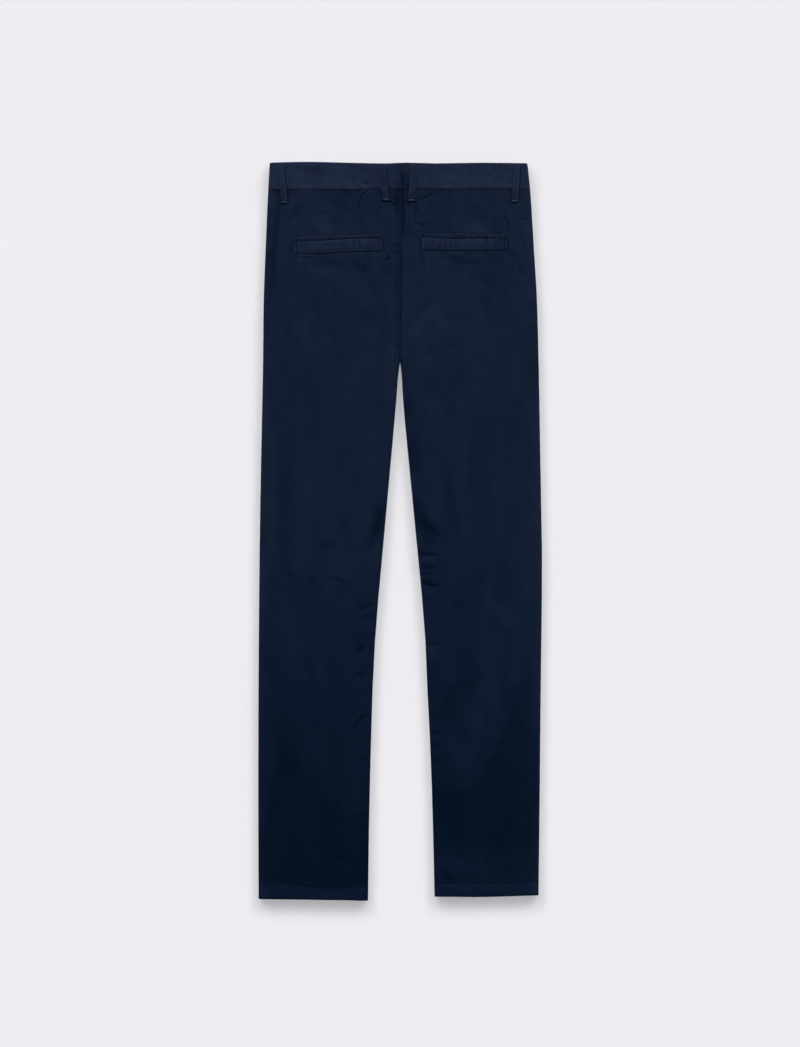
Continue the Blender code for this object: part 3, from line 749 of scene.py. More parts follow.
def lay(side, face, down, out, depth=0.0, top=PANEL_TOP, gap=SEAM_GAP, relief=0.0):
    """Places on one side's back or front as points in millimetres, at a depth under its outer face."""
    numbers = (np.asarray(v, float) for v in (down, out, depth, relief))
    down, out, depth, relief = np.broadcast_arrays(*numbers)
    edge, inner = side_edge(side, down), inner_edge(side, face, down)
    height = (top - EQUATOR if face == "back" else EQUATOR) - gap / 2
    x, rise = out.copy(), height - depth
    crotch_roundness = smooth((down - CROTCH) / CROTCH_BLEND + 0.5)
    for line, inwards, roundness in ((edge, -1, 1.0), (inner, 1, crotch_roundness)):
        part = np.clip(inwards * (out - line) / CURL, 0, 1)
        turn = part * math.pi / 2
        curled = depth + (CURL - depth) * (1 - np.cos(turn))
        beyond = np.minimum(inwards * (out - line), 0)
        x = np.where(part < 1, line + inwards * (lerp(part * CURL, curled, roundness) + beyond), x)
        rise = np.where(part < 1, (height - depth) * lerp(1.0, np.sin(turn), roundness), rise)
    garment_x = SIGN[side] * out
    slant = 1 - 2 * (out - inner) / (edge - inner)
    drop = down + HEM_SLOPE * slant * smooth((down - HEM_SLOPE_START) / HEM_SLOPE_RUN)
    drop = drop + table(HEM_RIM, garment_x) * smooth((down - HEM[side] + HEM_RIM_REACH) / HEM_RIM_REACH)
    if face == "back":
        z = EQUATOR + gap / 2 + rise + relief
        drop = drop + table(WAIST_TOP, garment_x) * (1 - smooth(down / BAND_HEIGHT))
        drop = drop + table(WAIST_SEAM, garment_x) * bell(down - BAND_HEIGHT, WAIST_SEAM_REACH)
    else:
        z = EQUATOR - gap / 2 - rise + front_lift(side, out, down) + relief
        centred = 0.5 + 0.5 * np.cos(math.pi * np.clip(np.abs(out) / edge, 0, 1))
        drop = drop + FRONT_DIP * centred * (1 - smooth((down - BAND_HEIGHT) / (FRONT_DIP_END - BAND_HEIGHT)))
    return np.stack([SIGN[side] * x, HALF_LENGTH - drop, z], axis=-1)


def point_on(side, face, out, down, depth=0.0, relief_of=None, **how):
    """One point, on the relief where its function is given."""
    out, down = np.array([out]), np.array([down])
    relief = relief_of(side, out, down) if relief_of else 0.0
    return lay(side, face, down, out, depth, relief=relief, **how)[0]


# How light or dark the cloth is, painted light and shade included: 0 is the darkest navy, near the hems, and
# 1 is the waistband's.

Tone = namedtuple("Tone", "down value")
# painted shade that deepens down the legs towards the hems
TONE_DOWN = rows_of(
    Tone,
    (37, 0.66), (126, 0.68), (300, 0.64), (380, 0.60), (560, 0.56), (600, 0.50), (700, 0.42),
    (800, 0.32), (880, 0.24), (1066, 0.20),
)
Patch = namedtuple("Patch", "x down end_x end_down width amount")
# soft patches of painted light and shade over the cloth's folds and seams
TONE_PATCHES = rows_of(
    Patch,
    # the centre back, shaded by its folds
    (-4, 38, -4, 58, 10, -0.28),
    (5.5, 41, 5.5, 80, 1.0, -0.14),
    (8.6, 40, 8.6, 76, 1.2, 0.12),
    (16, 61, 12, 70, 4, 0.05),
    (-1.6, 62, -2.4, 284, 4.5, -0.10),
    (0.5, 283, 1.5, 291, 2.6, -0.25),
    (14, 46, 12, 120, 5, -0.05),
    (-12, 80, -12, 118, 5, -0.05),
    # yoke and seat
    (-40, 44, -44, 66, 9, -0.14),
    (-31, 40, -31, 50, 5, -0.14),
    (-187, 40, -187, 52, 5, 0.24),
    (-176, 42, -174, 50, 3, -0.04),
    (-75, 82, -62, 100, 7, 0.08),
    (74, 135, 92, 142, 5, -0.10),
    (162, 128, 169, 133, 4, 0.10),
    (178, 44, 183, 52, 6, 0.08),
    (158, 46, 162, 52, 5, 0.08),
    (-12, 46, -12, 50, 4, 0.10),
    (-168, 59.6, -163, 59.6, 1.4, 0.16),
    (-54, 40, -46, 41, 3, 0.18),
    (-34, 58, -18, 60, 6, -0.10),
    (160, 112, 168, 122, 6, 0.06),
    (-155, 46, -140, 50, 12, 0.06),
    (-118, 96, -104, 104, 9, 0.09),
    (-180, 110, -160, 120, 10, -0.05),
    (165, 66, 168, 118, 9, 0.05),
    (96, 94, 124, 96, 8, 0.14),
    (-120, 155, -104, 158, 10, 0.07),
    (-80, 156, -44, 156, 8, -0.05),
    (40, 132, 38, 148, 6, 0.10),
    (60, 180, 40, 214, 9, 0.07),
    (62, 236, 90, 244, 9, 0.07),
    (-112, 270, -60, 272, 10, -0.05),
    (12, 268, 12, 392, 6, -0.08),
    (40, 268, 40, 276, 9, 0.06),
    (40, 336, 42, 346, 9, 0.06),
    (-180, 296, -180, 304, 9, -0.07),
    (142, 296, 142, 306, 9, 0.06),
    (-112, 90, -92, 100, 18, 0.11),
    (-180, 96, -180, 190, 8, -0.08),
    (186, 60, 188, 150, 8, 0.08),
    (96, 99, 124, 99, 9, 0.12),
    (-70, 143, -54, 150, 5, -0.10),
    (-80, 137, -60, 142, 9, -0.06),
    (62, 137, 80, 152, 8, -0.10),
    (-160, 160, -150, 190, 20, -0.06),
    (-40, 170, -40, 222, 14, -0.11),
    (-120, 205, -110, 230, 18, -0.06),
    (22, 170, 30, 290, 14, 0.10),
    (60, 190, 110, 260, 24, 0.03),
    (-12, 258, -14, 330, 8, 0.12),
    (160, 235, 185, 290, 16, -0.08),
    (-170, 296, -160, 350, 10, -0.12),
    # thighs
    (82, 335, 86, 350, 12, 0.14),
    (11, 344, 14, 360, 4, -0.20),
    (15, 402, 20, 440, 5, -0.16),
    (-159, 320, -158, 340, 6, -0.06),
    (44, 350, 40, 390, 10, 0.09),
    (-50, 395, -54, 470, 14, 0.11),
    (-184, 390, -181, 520, 7, 0.14),
    (-160, 400, -158, 510, 8, -0.10),
    (24, 400, 42, 480, 8, -0.10),
    (142, 400, 138, 470, 9, 0.09),
    (100, 376, 100, 470, 9, -0.08),
    (160, 450, 160, 470, 8, -0.08),
    (-40, 376, -40, 424, 9, 0.06),
    (122, 495, 120, 510, 8, 0.06),
    (-200, 525, -200, 552, 7, -0.22),
    (184, 530, 180, 590, 8, 0.07),
    (-142, 545, -122, 580, 10, 0.05),
    (56, 536, 60, 660, 9, -0.06),
    (122, 620, 158, 662, 11, 0.14),
    (-98, 620, -44, 664, 11, 0.07),
    (-30, 502, -34, 532, 7, -0.24),
    (-34, 532, -48, 556, 8, -0.16),
    (24, 494, 42, 543, 10, -0.38),
    (34, 552, 42, 560, 6, 0.10),
    (-110, 520, -90, 590, 20, 0.10),
    (-112, 552, -102, 552, 7, -0.15),
    (-80, 518, -80, 530, 7, -0.08),
    (-170, 480, -167, 590, 8, -0.08),
    (-146, 612, -120, 650, 12, -0.06),
    (-60, 570, -78, 590, 14, 0.10),
    (-146, 580, -140, 590, 12, 0.14),
    (158, 500, 142, 630, 12, -0.13),
    (36, 560, 44, 610, 9, -0.12),
    # calves
    (-136, 652, -130, 748, 10, -0.09),
    (40, 696, 42, 706, 7, 0.06),
    (140, 690, 138, 790, 10, 0.09),
    (100, 736, 104, 744, 7, 0.07),
    (112, 800, 100, 862, 10, 0.14),
    (150, 846, 182, 868, 12, 0.08),
    (190, 890, 180, 906, 10, 0.10),
    (-80, 856, -64, 902, 9, 0.06),
    (56, 930, 56, 985, 8, 0.08),
    (182, 610, 164, 740, 13, 0.18),
    (38, 655, 46, 720, 9, 0.14),
    (84, 655, 90, 700, 10, 0.08),
    (-160, 640, -140, 740, 12, 0.09),
    (-142, 740, -122, 790, 12, 0.12),
    (-60, 690, -82, 740, 10, -0.09),
    (108, 745, 62, 810, 11, -0.15),
    (62, 815, 86, 866, 14, 0.14),
    (140, 760, 138, 830, 10, 0.10),
    (-80, 810, -82, 905, 9, 0.10),
    (126, 720, 118, 860, 9, 0.02),
    (60, 1008, 104, 1022, 12, 0.12),
    (100, 780, 108, 1000, 30, 0.045),
    (-56, 780, -58, 890, 8, 0.06),
    (120, 1012, 150, 1014, 10, 0.06),
    (-142, 1039, -128, 1041, 5, 0.06),
    (94, 1018, 96, 1046, 8, 0.10),
    (124, 1033, 160, 1036, 10, 0.12),
    (66, 1052, 80, 1053, 8, -0.12),
    (124, 1050, 124, 1062, 3.0, 0.09),
    (128.6, 1048, 128.6, 1062, 0.9, -0.18),
    (134, 1050, 134, 1062, 2.2, 0.06),
    (144, 1046, 144, 1062, 2.2, -0.14),
    (166, 1046, 184, 1047, 6, -0.08),
)
# patches of painted light and shade on the band's folds, dents and edges
BAND_PATCHES = rows_of(
    Patch,
    (0, 0, 2, 38, 15, -0.20),
    (2, 10, 3, 38, 6, -0.16),
    (3, 19, 4.6, 29, 2.2, -0.42),
    (4.6, 29, 8.4, 35, 1.7, -0.34),
    (11.4, 22, 11.4, 36, 1.0, -0.50),
    (5.8, 3, 5.8, 13, 1.1, 0.22),
    (23, 2, 23, 10, 1.0, -0.24),
    (-1, 6, -2, 15, 2.5, -0.08),
    (12, 24, 13, 36, 6, -0.14),
    (24, 4, 28, 34, 7, -0.08),
    (-44, 14, -30, 34, 8, -0.08),
    (-34, 2, -30, 8, 6, -0.06),
    (38, 14, 44, 24, 7, -0.08),
    (-119.5, 11, -118, 14, 4, -0.22),
    (-134, 12, -131, 14, 4.5, -0.12),
    (-122, 18, -116, 26, 8, -0.06),
    (-142, 31.8, -113, 31.8, 1.2, 0.28),
    (-66, 30, -63, 33, 3, -0.14),
    (-58, 30, -55, 33, 1.5, 0.10),
    (140, 29, 158, 31, 7, -0.08),
    (-80, 35.2, -58, 35.2, 0.9, 0.16),
    (64, 34.6, 90, 34.2, 1.1, 0.14),
    (124, 33, 127, 27, 1.4, 0.20),
    (50, 30, 48, 36, 3, -0.07),
)
# the painted highlight along the side seams
EDGE_LIGHT, EDGE_LIGHT_REACH = {"left": 0.30, "right": 0.44}, 8.5
# where the painted shade of the dark lower legs starts, and how softly
Dusk = namedtuple("Dusk", "x start softness")
DUSK = {
    "left": rows_of(
        Dusk,
        (-203, 940, 100), (-192, 880, 100), (-180, 825, 80), (-168, 800, 70), (-156, 815, 60),
        (-129, 862, 50), (-103, 908, 30), (-71, 934, 18), (-60, 926, 18), (-46, 930, 18),
    ),
    "right": rows_of(
        Dusk,
        (49, 892, 16), (85, 898, 14), (100, 900, 14), (112, 890, 14), (121, 870, 24), (129, 848, 30),
        (143, 818, 34), (155, 790, 40), (168, 770, 44),
    ),
}
DUSK_AMOUNT = 0.22
# the painted light on the hems, and where it starts
HEM_LIGHT = {"left": 0.21, "right": 0.16}
Start = namedtuple("Start", "x down")
HEM_LIGHT_START = rows_of(
    Start,
    (-203, 1038), (-170, 1039), (-150, 1042), (-140, 1045), (-110, 1051), (-78, 1048), (-66, 1041),
    (-46, 1040), (50, 1040), (198, 1040),
)
# how dark the waist seam's painted shadow under the band is along it
Shade = namedtuple("Shade", "x value")
SEAM_SHADE = rows_of(
    Shade,
    (-72, 0.40), (-58, -0.05), (-45, -0.05), (-40, 0.45), (-26, 0.40), (-18, -0.15), (-6, -0.15),
    (4, 0.05), (30, 0.30), (60, 0.26), (90, 0.12), (104, -0.14),
)
# ridges lighter with wear and painted light, hollows darker with painted shade
RIDGE_WEAR_AND_HOLLOW_SHADE = 0.20
DUSK_SWELL, HEM_SWELL = Swell(5.0, 46, 51), Swell(2.0, 14, 66)
BACK_TONE_SWELL, FRONT_TONE_SWELL = Swell(0.025, 46, 61, 1.6), Swell(0.03, 50, 63)
BACK_TONE_FINE_SWELLS = rows_of(Swell, (0.034, 19, 62), (0.040, 8, 64))
BAND_TONE_SWELLS = rows_of(Swell, (0.04, 40, 81), (0.050, 13, 82), (0.025, 6, 83))


def patched(patches, x, down):
    """The sum of soft patches, each round a short line."""
    total = 0.0
    for patch in patches:
        ex, ey = patch.end_x - patch.x, patch.end_down - patch.down
        t = np.clip(((x - patch.x) * ex + (down - patch.down) * ey) / (ex * ex + ey * ey), 0, 1)
        distance = np.hypot(x - patch.x - t * ex, down - patch.down - t * ey)
        total = total + patch.amount * bell(distance, patch.width)
    return total


# where the right leg's dusk thins out again: down at the hem, and beside the side seam
DUSK_END, DUSK_END_RUN, DUSK_END_SHARE = 978.0, 30.0, 0.8
DUSK_ASIDE, DUSK_ASIDE_RUN, DUSK_ASIDE_SHARE = 148.0, 18.0, 0.6
# the hems' streaks of painted light and shade: their middles, widths and strengths, and the puckers that they
# follow
Streak = namedtuple("Streak", "x width strength")
STREAKS = rows_of(Streak, (142, 24, 0.95), (-108, 22, 0.665))
STREAK_SPACING, STREAK_SEED = 6.3, 9.0


def dusk(side, x, down):
    """The painted shade of the dark lower legs, whose upper edge slants, and which ends at the hems."""
    start = table(DUSK[side], x, "start") + swell(DUSK_SWELL, x, down)
    depth = smooth((down - start) / table(DUSK[side], x, "softness"))
    if side == "left":
        return depth
    depth = depth * (1 - DUSK_END_SHARE * smooth((down - DUSK_END) / DUSK_END_RUN))
    return depth * (1 - DUSK_ASIDE_SHARE * smooth((x - DUSK_ASIDE) / DUSK_ASIDE_RUN))


def hem_lightness(x, down):
    """How far a place is into the hem's painted light, with streaks of painted light and shade over its
    puckers.
    """
    light = smooth((down - table(HEM_LIGHT_START, x) - swell(HEM_SWELL, x, down)) / 4)
    streaks = sum(streak.strength * bell(x - streak.x, streak.width) for streak in STREAKS)
    return light * (1 + streaks * puckers(x + 0.1 * down, STREAK_SPACING, STREAK_SEED))


# how much of the dusk's painted shade the hems' painted light takes away, and where the side seams' painted
# highlight and the fine swells fade
DUSK_OFF_HEM = 0.5
EDGE_LIGHT_START, EDGE_LIGHT_RUN = 300.0, 60.0
BUSY_TONE_LEAST, BUSY_TONE_END, BUSY_TONE_RUN = 0.4, 260.0, 130.0
# ridges lighter with wear and painted light, hollows darker with painted shade, up to these heights
WEAR_AND_SHADE_LOW, WEAR_AND_SHADE_HIGH, FRONT_RELIEF_SHADE = -0.9, 0.5, -0.04
SEAM_SHADE_BELOW, SEAM_SHADE_WIDTH = 0.1, 0.65


def back_tone(side, x, down, relief):
    out = SIGN[side] * x
    hem_light = hem_lightness(x, down)
    # painted shade that deepens down the legs, and patches of painted light and shade
    tone = table(TONE_DOWN, down) + patched(TONE_PATCHES, x, down)
    # the lower legs' painted shade, lessened under the hems' painted light
    tone = tone - DUSK_AMOUNT * dusk(side, x, down) * (1 - DUSK_OFF_HEM * hem_light)
    # the hems' painted light
    tone = tone + HEM_LIGHT[side] * hem_light
    # the painted highlight along the side seam, from the thighs down
    edge_light = fading(side_edge(side, down) - out, EDGE_LIGHT_REACH)
    tone = tone + EDGE_LIGHT[side] * edge_light * smooth((down - EDGE_LIGHT_START) / EDGE_LIGHT_RUN)
    busy = lerp(BUSY_TONE_LEAST, 1.0, smooth((BUSY_TONE_END - down) / BUSY_TONE_RUN))
    tone = tone + swell(BACK_TONE_SWELL, x, down) + busy * swells(BACK_TONE_FINE_SWELLS, x, down)
    # the relief's wear with its painted light and shade, and the loops' painted shade
    tone = tone + RIDGE_WEAR_AND_HOLLOW_SHADE * np.clip(relief, WEAR_AND_SHADE_LOW, WEAR_AND_SHADE_HIGH) - loop_shade(side, out, down)
    # the welts' painted shadow lines
    tone = tone - sum(welt_shade(welt, out, down) for welt in WELTS if welt.side == side)
    # the waist seam's painted shadow under the band's edge
    return tone - line_at(Line(table(SEAM_SHADE, x), SEAM_SHADE_WIDTH), down - BAND_HEIGHT - SEAM_SHADE_BELOW)


def front_tone(side, x, down, relief):
    # painted shade deepening down the legs, and painted shade from the relief
    return table(TONE_DOWN, down) + swell(FRONT_TONE_SWELL, x, down) + FRONT_RELIEF_SHADE * np.clip(relief, -1, 1)


BAND_TONE = 1.02
# the lighter lower part of the band: where it starts down it, and how far from the centre back
BAND_LIGHT, BAND_LIGHT_DOWN = 0.04, 27.0
BAND_LIGHT_MIDDLE, BAND_LIGHT_ASIDE, BAND_LIGHT_RUN = -8.0, 40.0, 20.0


def band_tone(side, x, down):
    # the band's patches of painted light and shade
    tone = BAND_TONE + swells(BAND_TONE_SWELLS, x, down) + patched(BAND_PATCHES, x, down)
    aside = smooth((np.abs(x - BAND_LIGHT_MIDDLE) - BAND_LIGHT_ASIDE) / BAND_LIGHT_RUN)
    tone = tone + BAND_LIGHT * smooth((down - BAND_LIGHT_DOWN) / 5) * aside
    return tone - loop_shade(side, SIGN[side] * x, down)


# Meshes.

TONE_TOP = 1.2


def mesh_object(name, points, faces, material, tone=None):
    """An object from points in millimetres, with a tone for each of them where it is cloth."""
    mesh = bpy.data.meshes.new(name)
    mesh.from_pydata((np.asarray(points) * MM).tolist(), [], faces)
    mesh.materials.append(material)
    mesh.shade_smooth()
    if tone is not None:
        values = (tone / TONE_TOP).astype(np.float32)
        mesh.attributes.new("tone", "FLOAT", "POINT").data.foreach_set("value", values)
    piece = bpy.data.objects.new(name, mesh)
    bpy.context.scene.collection.objects.link(piece)
    return piece


def grid_faces(rows, columns, start=0, flip=False):
    i = (np.arange(rows - 1)[:, None] * columns + np.arange(columns - 1)[None, :]).ravel() + start
    quads = np.stack([i, i + 1, i + columns + 1, i + columns], axis=1)
    return quads[:, ::-1] if flip else quads


def rim_walk(rows, columns):
    """A grid's border places in order, once round."""
    there = [(0, j) for j in range(columns)] + [(i, columns - 1) for i in range(1, rows)]
    back = [(rows - 1, j) for j in range(columns - 2, -1, -1)] + [(i, 0) for i in range(rows - 2, 0, -1)]
    return there + back


def thinned(count, skip):
    """Every so many places of a row, with its first and last."""
    return np.unique(np.append(np.arange(0, count - 1, skip), count - 1))


def signed_volume(points, quads):
    a, b, c, d = (points[quads[:, k]] for k in range(4))
    return np.einsum("ij,ij->", a, np.cross(b, c)) + np.einsum("ij,ij->", a, np.cross(c, d))


def shell(name, outer, inner, material, tone, skip=1):
    """A closed sheet of cloth between two grids of points. The inner one may keep fewer rows and columns."""
    rows, columns = outer.shape[:2]
    kept_rows, kept_columns = thinned(rows, skip), thinned(columns, skip)
    kept = np.ix_(kept_rows, kept_columns)
    size = rows * columns
    points = np.concatenate([outer.reshape(-1, 3), inner[kept].reshape(-1, 3)])
    front = grid_faces(rows, columns)
    back = grid_faces(len(kept_rows), len(kept_columns), size, flip=True)
    fine = [i * columns + j for i, j in rim_walk(rows, columns)]
    coarse = {
        int(kept_rows[i]) * columns + int(kept_columns[j]): size + i * len(kept_columns) + j
        for i, j in rim_walk(len(kept_rows), len(kept_columns))
    }
    edge, run = [], [fine[0]]
    for place in fine[1:] + fine[:1]:
        run.append(place)
        if place in coarse:
            edge.append((coarse[run[0]], coarse[place]) + tuple(run[::-1]))
            run = [place]
    faces = front.tolist() + back.tolist() + edge
    if signed_volume(points, front) + signed_volume(points, back) < 0:
        faces = [face[::-1] for face in faces]
    return mesh_object(name, points, faces, material, np.concatenate([tone.ravel(), tone[kept].ravel()]))


def ring_faces(first, sides):
    """The quads between a ring of points and the next one."""
    turned = [(k, (k + 1) % sides) for k in range(sides)]
    return [(first + k, first + m, first + sides + m, first + sides + k) for k, m in turned]


# a stitch's rings of points: places along it, their sizes and heights as shares of the thread's radius
ThreadRing = namedtuple("ThreadRing", "place size rise")
THREAD_RINGS = rows_of(
    ThreadRing, (0.0, 0.35, -0.9), (0.18, 0.9, -0.1), (0.5, 1.0, 0.25), (0.82, 0.9, -0.1), (1.0, 0.35, -0.9)
)
THREAD_SIDES = 6


def stitches(name, starts, ends, up, material, radius):
    """Short arched pieces of thread from starts to ends, whose tips sink into the cloth."""
    starts, ends, up = (np.asarray(v, float) for v in (starts, ends, (0, 0, up)))
    along = ends - starts
    along /= np.linalg.norm(along, axis=1, keepdims=True)
    across = np.cross(along, up)
    across /= np.linalg.norm(across, axis=1, keepdims=True)
    points = []
    for ring in THREAD_RINGS:
        middle = lerp(starts, ends, ring.place) + up * ring.rise * radius
        for k in range(THREAD_SIDES):
            turn = 2 * math.pi * k / THREAD_SIDES
            points.append(middle + radius * ring.size * (across * math.cos(turn) + up * math.sin(turn)))
    each = len(points)
    pattern = []
    for first in range(0, each - THREAD_SIDES, THREAD_SIDES):
        pattern += ring_faces(first, THREAD_SIDES)
    pattern += [tuple(range(THREAD_SIDES))[::-1], tuple(range(each - THREAD_SIDES, each))]
    faces = [tuple(n * each + v for v in face) for n in range(len(starts)) for face in pattern]
    return mesh_object(name, np.stack(points, axis=1).reshape(-1, 3), faces, material)


# Materials.

NavyTone = namedtuple("NavyTone", "value colour")
NAVY_TONES = rows_of(
    NavyTone,
    (0.00, (7, 18, 34.5)),
    (0.22, (11, 22, 39.5)),
    (0.40, (14.5, 25, 44.5)),
    (0.58, (19, 29.5, 49)),
    (0.72, (23, 33, 52)),
    (0.86, (26, 35, 54)),
    (1.00, (30, 39, 59)),
    (1.20, (36, 45, 66)),
)
CLOTH_GAIN = 0.98
# light that reaches the cloth from the pale ground beside it
BOUNCE = (0.0010, 0.0010, 0.0014)
DARKEST = 0.0004
# the dye's unevenness, at the size of a hand and of a fingertip, and the twill's threads across its rib
MOTTLE, SPECK = 0.10, 0.16
WEFT, SLUB = 0.35, 0.6
RIB_TURN = 63.0


def to_linear(colour):
    """sRGB numbers up to 255 as linear ones up to 1."""
    parts = [c / 255 for c in colour]
    return [c / 12.92 if c <= 0.04045 else ((c + 0.055) / 1.055) ** 2.4 for c in parts]


def cloth_colour(colour, gain=1.0):
    parts = [max(DARKEST, c * CLOTH_GAIN - b) for c, b in zip(to_linear(colour), BOUNCE)]
    return [gain * c for c in parts] + [1.0]


def new_material(name, **settings):
    material = bpy.data.materials.new(name)
    material.use_nodes = True
    shader = material.node_tree.nodes["Principled BSDF"]
    fill(shader, settings)
    return material, material.node_tree, shader


def fill(node, settings):
    """Sets a node's inputs, whose names have spaces for underscores."""
    for name, value in settings.items():
        node.inputs[name.replace("_", " ")].default_value = value


def calculate(tree, operation, *values):
    """A math node fed by numbers or sockets; returns its output."""
    made = tree.nodes.new("ShaderNodeMath")
    made.operation = operation
    for socket, value in zip(made.inputs, values):
        if hasattr(value, "is_linked"):
            tree.links.new(value, socket)
        else:
            socket.default_value = value
    return made.outputs[0]


def texture(tree, kind, place, bands=None, **settings):
    """A texture's value at a place, from a node of the kind, such as a wave with bands across a direction."""
    made = tree.nodes.new(f"ShaderNodeTex{kind}")
    if bands:
        made.bands_direction = bands
    fill(made, settings)
    tree.links.new(place, made.inputs["Vector"])
    return made.outputs["Fac"]


def object_place(tree):
    return tree.nodes.new("ShaderNodeTexCoord").outputs["Object"]


def colour_by_ramp(tree, shader, factor, stops):
    ramp = tree.nodes.new("ShaderNodeValToRGB")
    elements = ramp.color_ramp.elements
    while len(elements) < len(stops):
        elements.new(0.5)
    for element, (position, colour) in zip(elements, stops):
        element.position = position
        element.color = colour
    tree.links.new(factor, ramp.inputs["Fac"])
    tree.links.new(ramp.outputs["Color"], shader.inputs["Base Color"])


def raise_by(tree, shader, height, **settings):
    bump = tree.nodes.new("ShaderNodeBump")
    fill(bump, settings)
    tree.links.new(height, bump.inputs["Height"])
    tree.links.new(bump.outputs["Normal"], shader.inputs["Normal"])


def twill(name):
    """Navy cotton twill: the mesh's tones with their painted light and shade, uneven dye, a fine diagonal
    rib, threads across it, and slubs.
    """
    material, tree, shader = new_material(
        name, Roughness=0.92, Specular_IOR_Level=0.02, Sheen_Weight=0.006, Sheen_Roughness=0.5,
        Sheen_Tint=(0.55, 0.66, 0.9, 1.0),
    )
    place = object_place(tree)
    tone = tree.nodes.new("ShaderNodeAttribute")
    tone.attribute_name = "tone"
    mottle = texture(tree, "Noise", place, Scale=38.0, Detail=4.0, Roughness=0.6)
    speck = texture(tree, "Noise", place, Scale=620.0, Detail=3.0, Roughness=0.7)
    # the mesh's tones, which carry painted light and shade, with the dye's uneven noise added
    shading_and_dye = calculate(tree, "MULTIPLY_ADD", mottle, MOTTLE, tone.outputs["Fac"])
    shading_and_dye = calculate(tree, "MULTIPLY_ADD", speck, SPECK, shading_and_dye)
    shading_and_dye = calculate(tree, "ADD", shading_and_dye, -0.5 * (MOTTLE + SPECK))
    stops = [(navy.value / TONE_TOP, cloth_colour(navy.colour)) for navy in NAVY_TONES]
    colour_by_ramp(tree, shader, shading_and_dye, stops)
    turned = tree.nodes.new("ShaderNodeMapping")
    fill(turned, {"Rotation": (0.0, 0.0, math.radians(RIB_TURN))})
    tree.links.new(place, turned.inputs["Vector"])
    rib_place = turned.outputs["Vector"]
    rib = texture(tree, "Wave", rib_place, Scale=285.0, Distortion=1.2, Detail=1.0, Detail_Scale=3.0)
    weft = texture(tree, "Wave", place, "Y", Scale=520.0, Distortion=0.6, Detail=1.0)
    slub = texture(tree, "Noise", place, Scale=900.0, Detail=2.0)
    weave = calculate(tree, "MULTIPLY_ADD", weft, WEFT, rib)
    weave = calculate(tree, "MULTIPLY_ADD", slub, SLUB, weave)
    raise_by(tree, shader, weave, Strength=0.35, Distance=0.00010)
    return material


def thread(name, colour):
    """Twisted cotton thread, with painted shade between its plies."""
    material, tree, shader = new_material(name, Roughness=0.7, Specular_IOR_Level=0.12)
    ply = texture(tree, "Wave", object_place(tree), "DIAGONAL", Scale=900.0, Distortion=0.4)
    tint = tree.nodes.new("ShaderNodeMix")
    tint.data_type = "RGBA"
    fill(tint, {"A": cloth_colour(colour, 0.75), "B": cloth_colour(colour, 1.2)})
    tree.links.new(ply, tint.inputs["Factor"])
    tree.links.new(tint.outputs["Result"], shader.inputs["Base Color"])
    raise_by(tree, shader, ply, Strength=0.4, Distance=0.00008)
    return material


def button_material():
    material, tree, shader = new_material("button_resin", Roughness=0.32)
    cloud = texture(tree, "Noise", object_place(tree), Scale=160.0, Detail=3.0)
    colour_by_ramp(tree, shader, cloud, ((0.35, (0.003, 0.005, 0.010, 1)), (0.7, (0.010, 0.014, 0.026, 1))))
    return material


LEG_TWILL, BAND_TWILL, WELT_TWILL = (twill(name) for name in ("leg_twill", "band_twill", "welt_twill"))
NAVY_THREAD = thread("navy_thread", (28, 37, 57))
# the paler threads: the welts' bars and lip rows in a paler thread of their own; on the belt loops' lower
# tacks the paleness is a painted highlight
BAR_THREAD = thread("bar_thread", (42, 52, 75))
TACK_THREAD = thread("tack_thread", (44, 55, 78))
HEM_THREAD = thread("hem_thread", (13, 23, 41))


# Each piece is hung under the root, and hides the frame's nodes that it stands for, where they are given.


def declare(piece, slot, *nodes):
    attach(piece, "root")
    if nodes:
        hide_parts(*nodes)


def declare_sheet(piece, strip_size=None):
    """Reads the points of a sheet given without a strip's size, and keeps nothing. A strip's size is its own
    length and height in millimetres.
    """
    if strip_size:
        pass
    else:
        points = mesh_points(piece.data).astype(float)


# The legs' panels.

CURL_COLUMNS = 9
# rows down a panel, in runs that each have a step of their own
RowRun = namedtuple("RowRun", "start end step")
BACK_ROWS = rows_of(RowRun, (39, 150, 0.95), (150, 300, 1.6), (300, 1044, 2.6))
FRONT_ROWS = rows_of(RowRun, (39, 300, 3.5), (300, 1044, 5.0))
BACK_INNER_STEP, BACK_OUTER_STEP, FRONT_STEP = 0.85, 1.75, 3.6
COLUMNS_WIDTH = 185.0
# the rows that are tucked under the band, and the right half's columns that are lapped under the left's
TUCK_ROWS = (-3.0, -1.2, -0.5, 0.0)
UNDERLAP_COLUMNS = (-4.0, -1.5, -0.75, -0.35)
TUCK_DEPTH = {"back": -1.6, "front": 2.1}
UNDERLAP_DEPTH = {"back": -1.5, "front": 1.5}
# the lap's share below the crotch, and where it fades to that
LEG_LAP, LAP_FADE_ABOVE, LAP_FADE = 0.03, 24.0, 16.0
# rows near a cut end, counted from it
TOP_ROWS, HEM_ROWS = (0.35, 0.75, 1.2), (0.9, 0.35, 0.0)
HEM_MARGIN, HEM_LAST_ROW, HEM_BODY_ROWS = 3.0, 1.6, 19
LINING_SKIP = {"back": 5, "front": 3}
# how far the outer and inner skins draw together in the rows or columns nearest a cut edge
ROUNDED = (0.42, 0.18, 0.05)


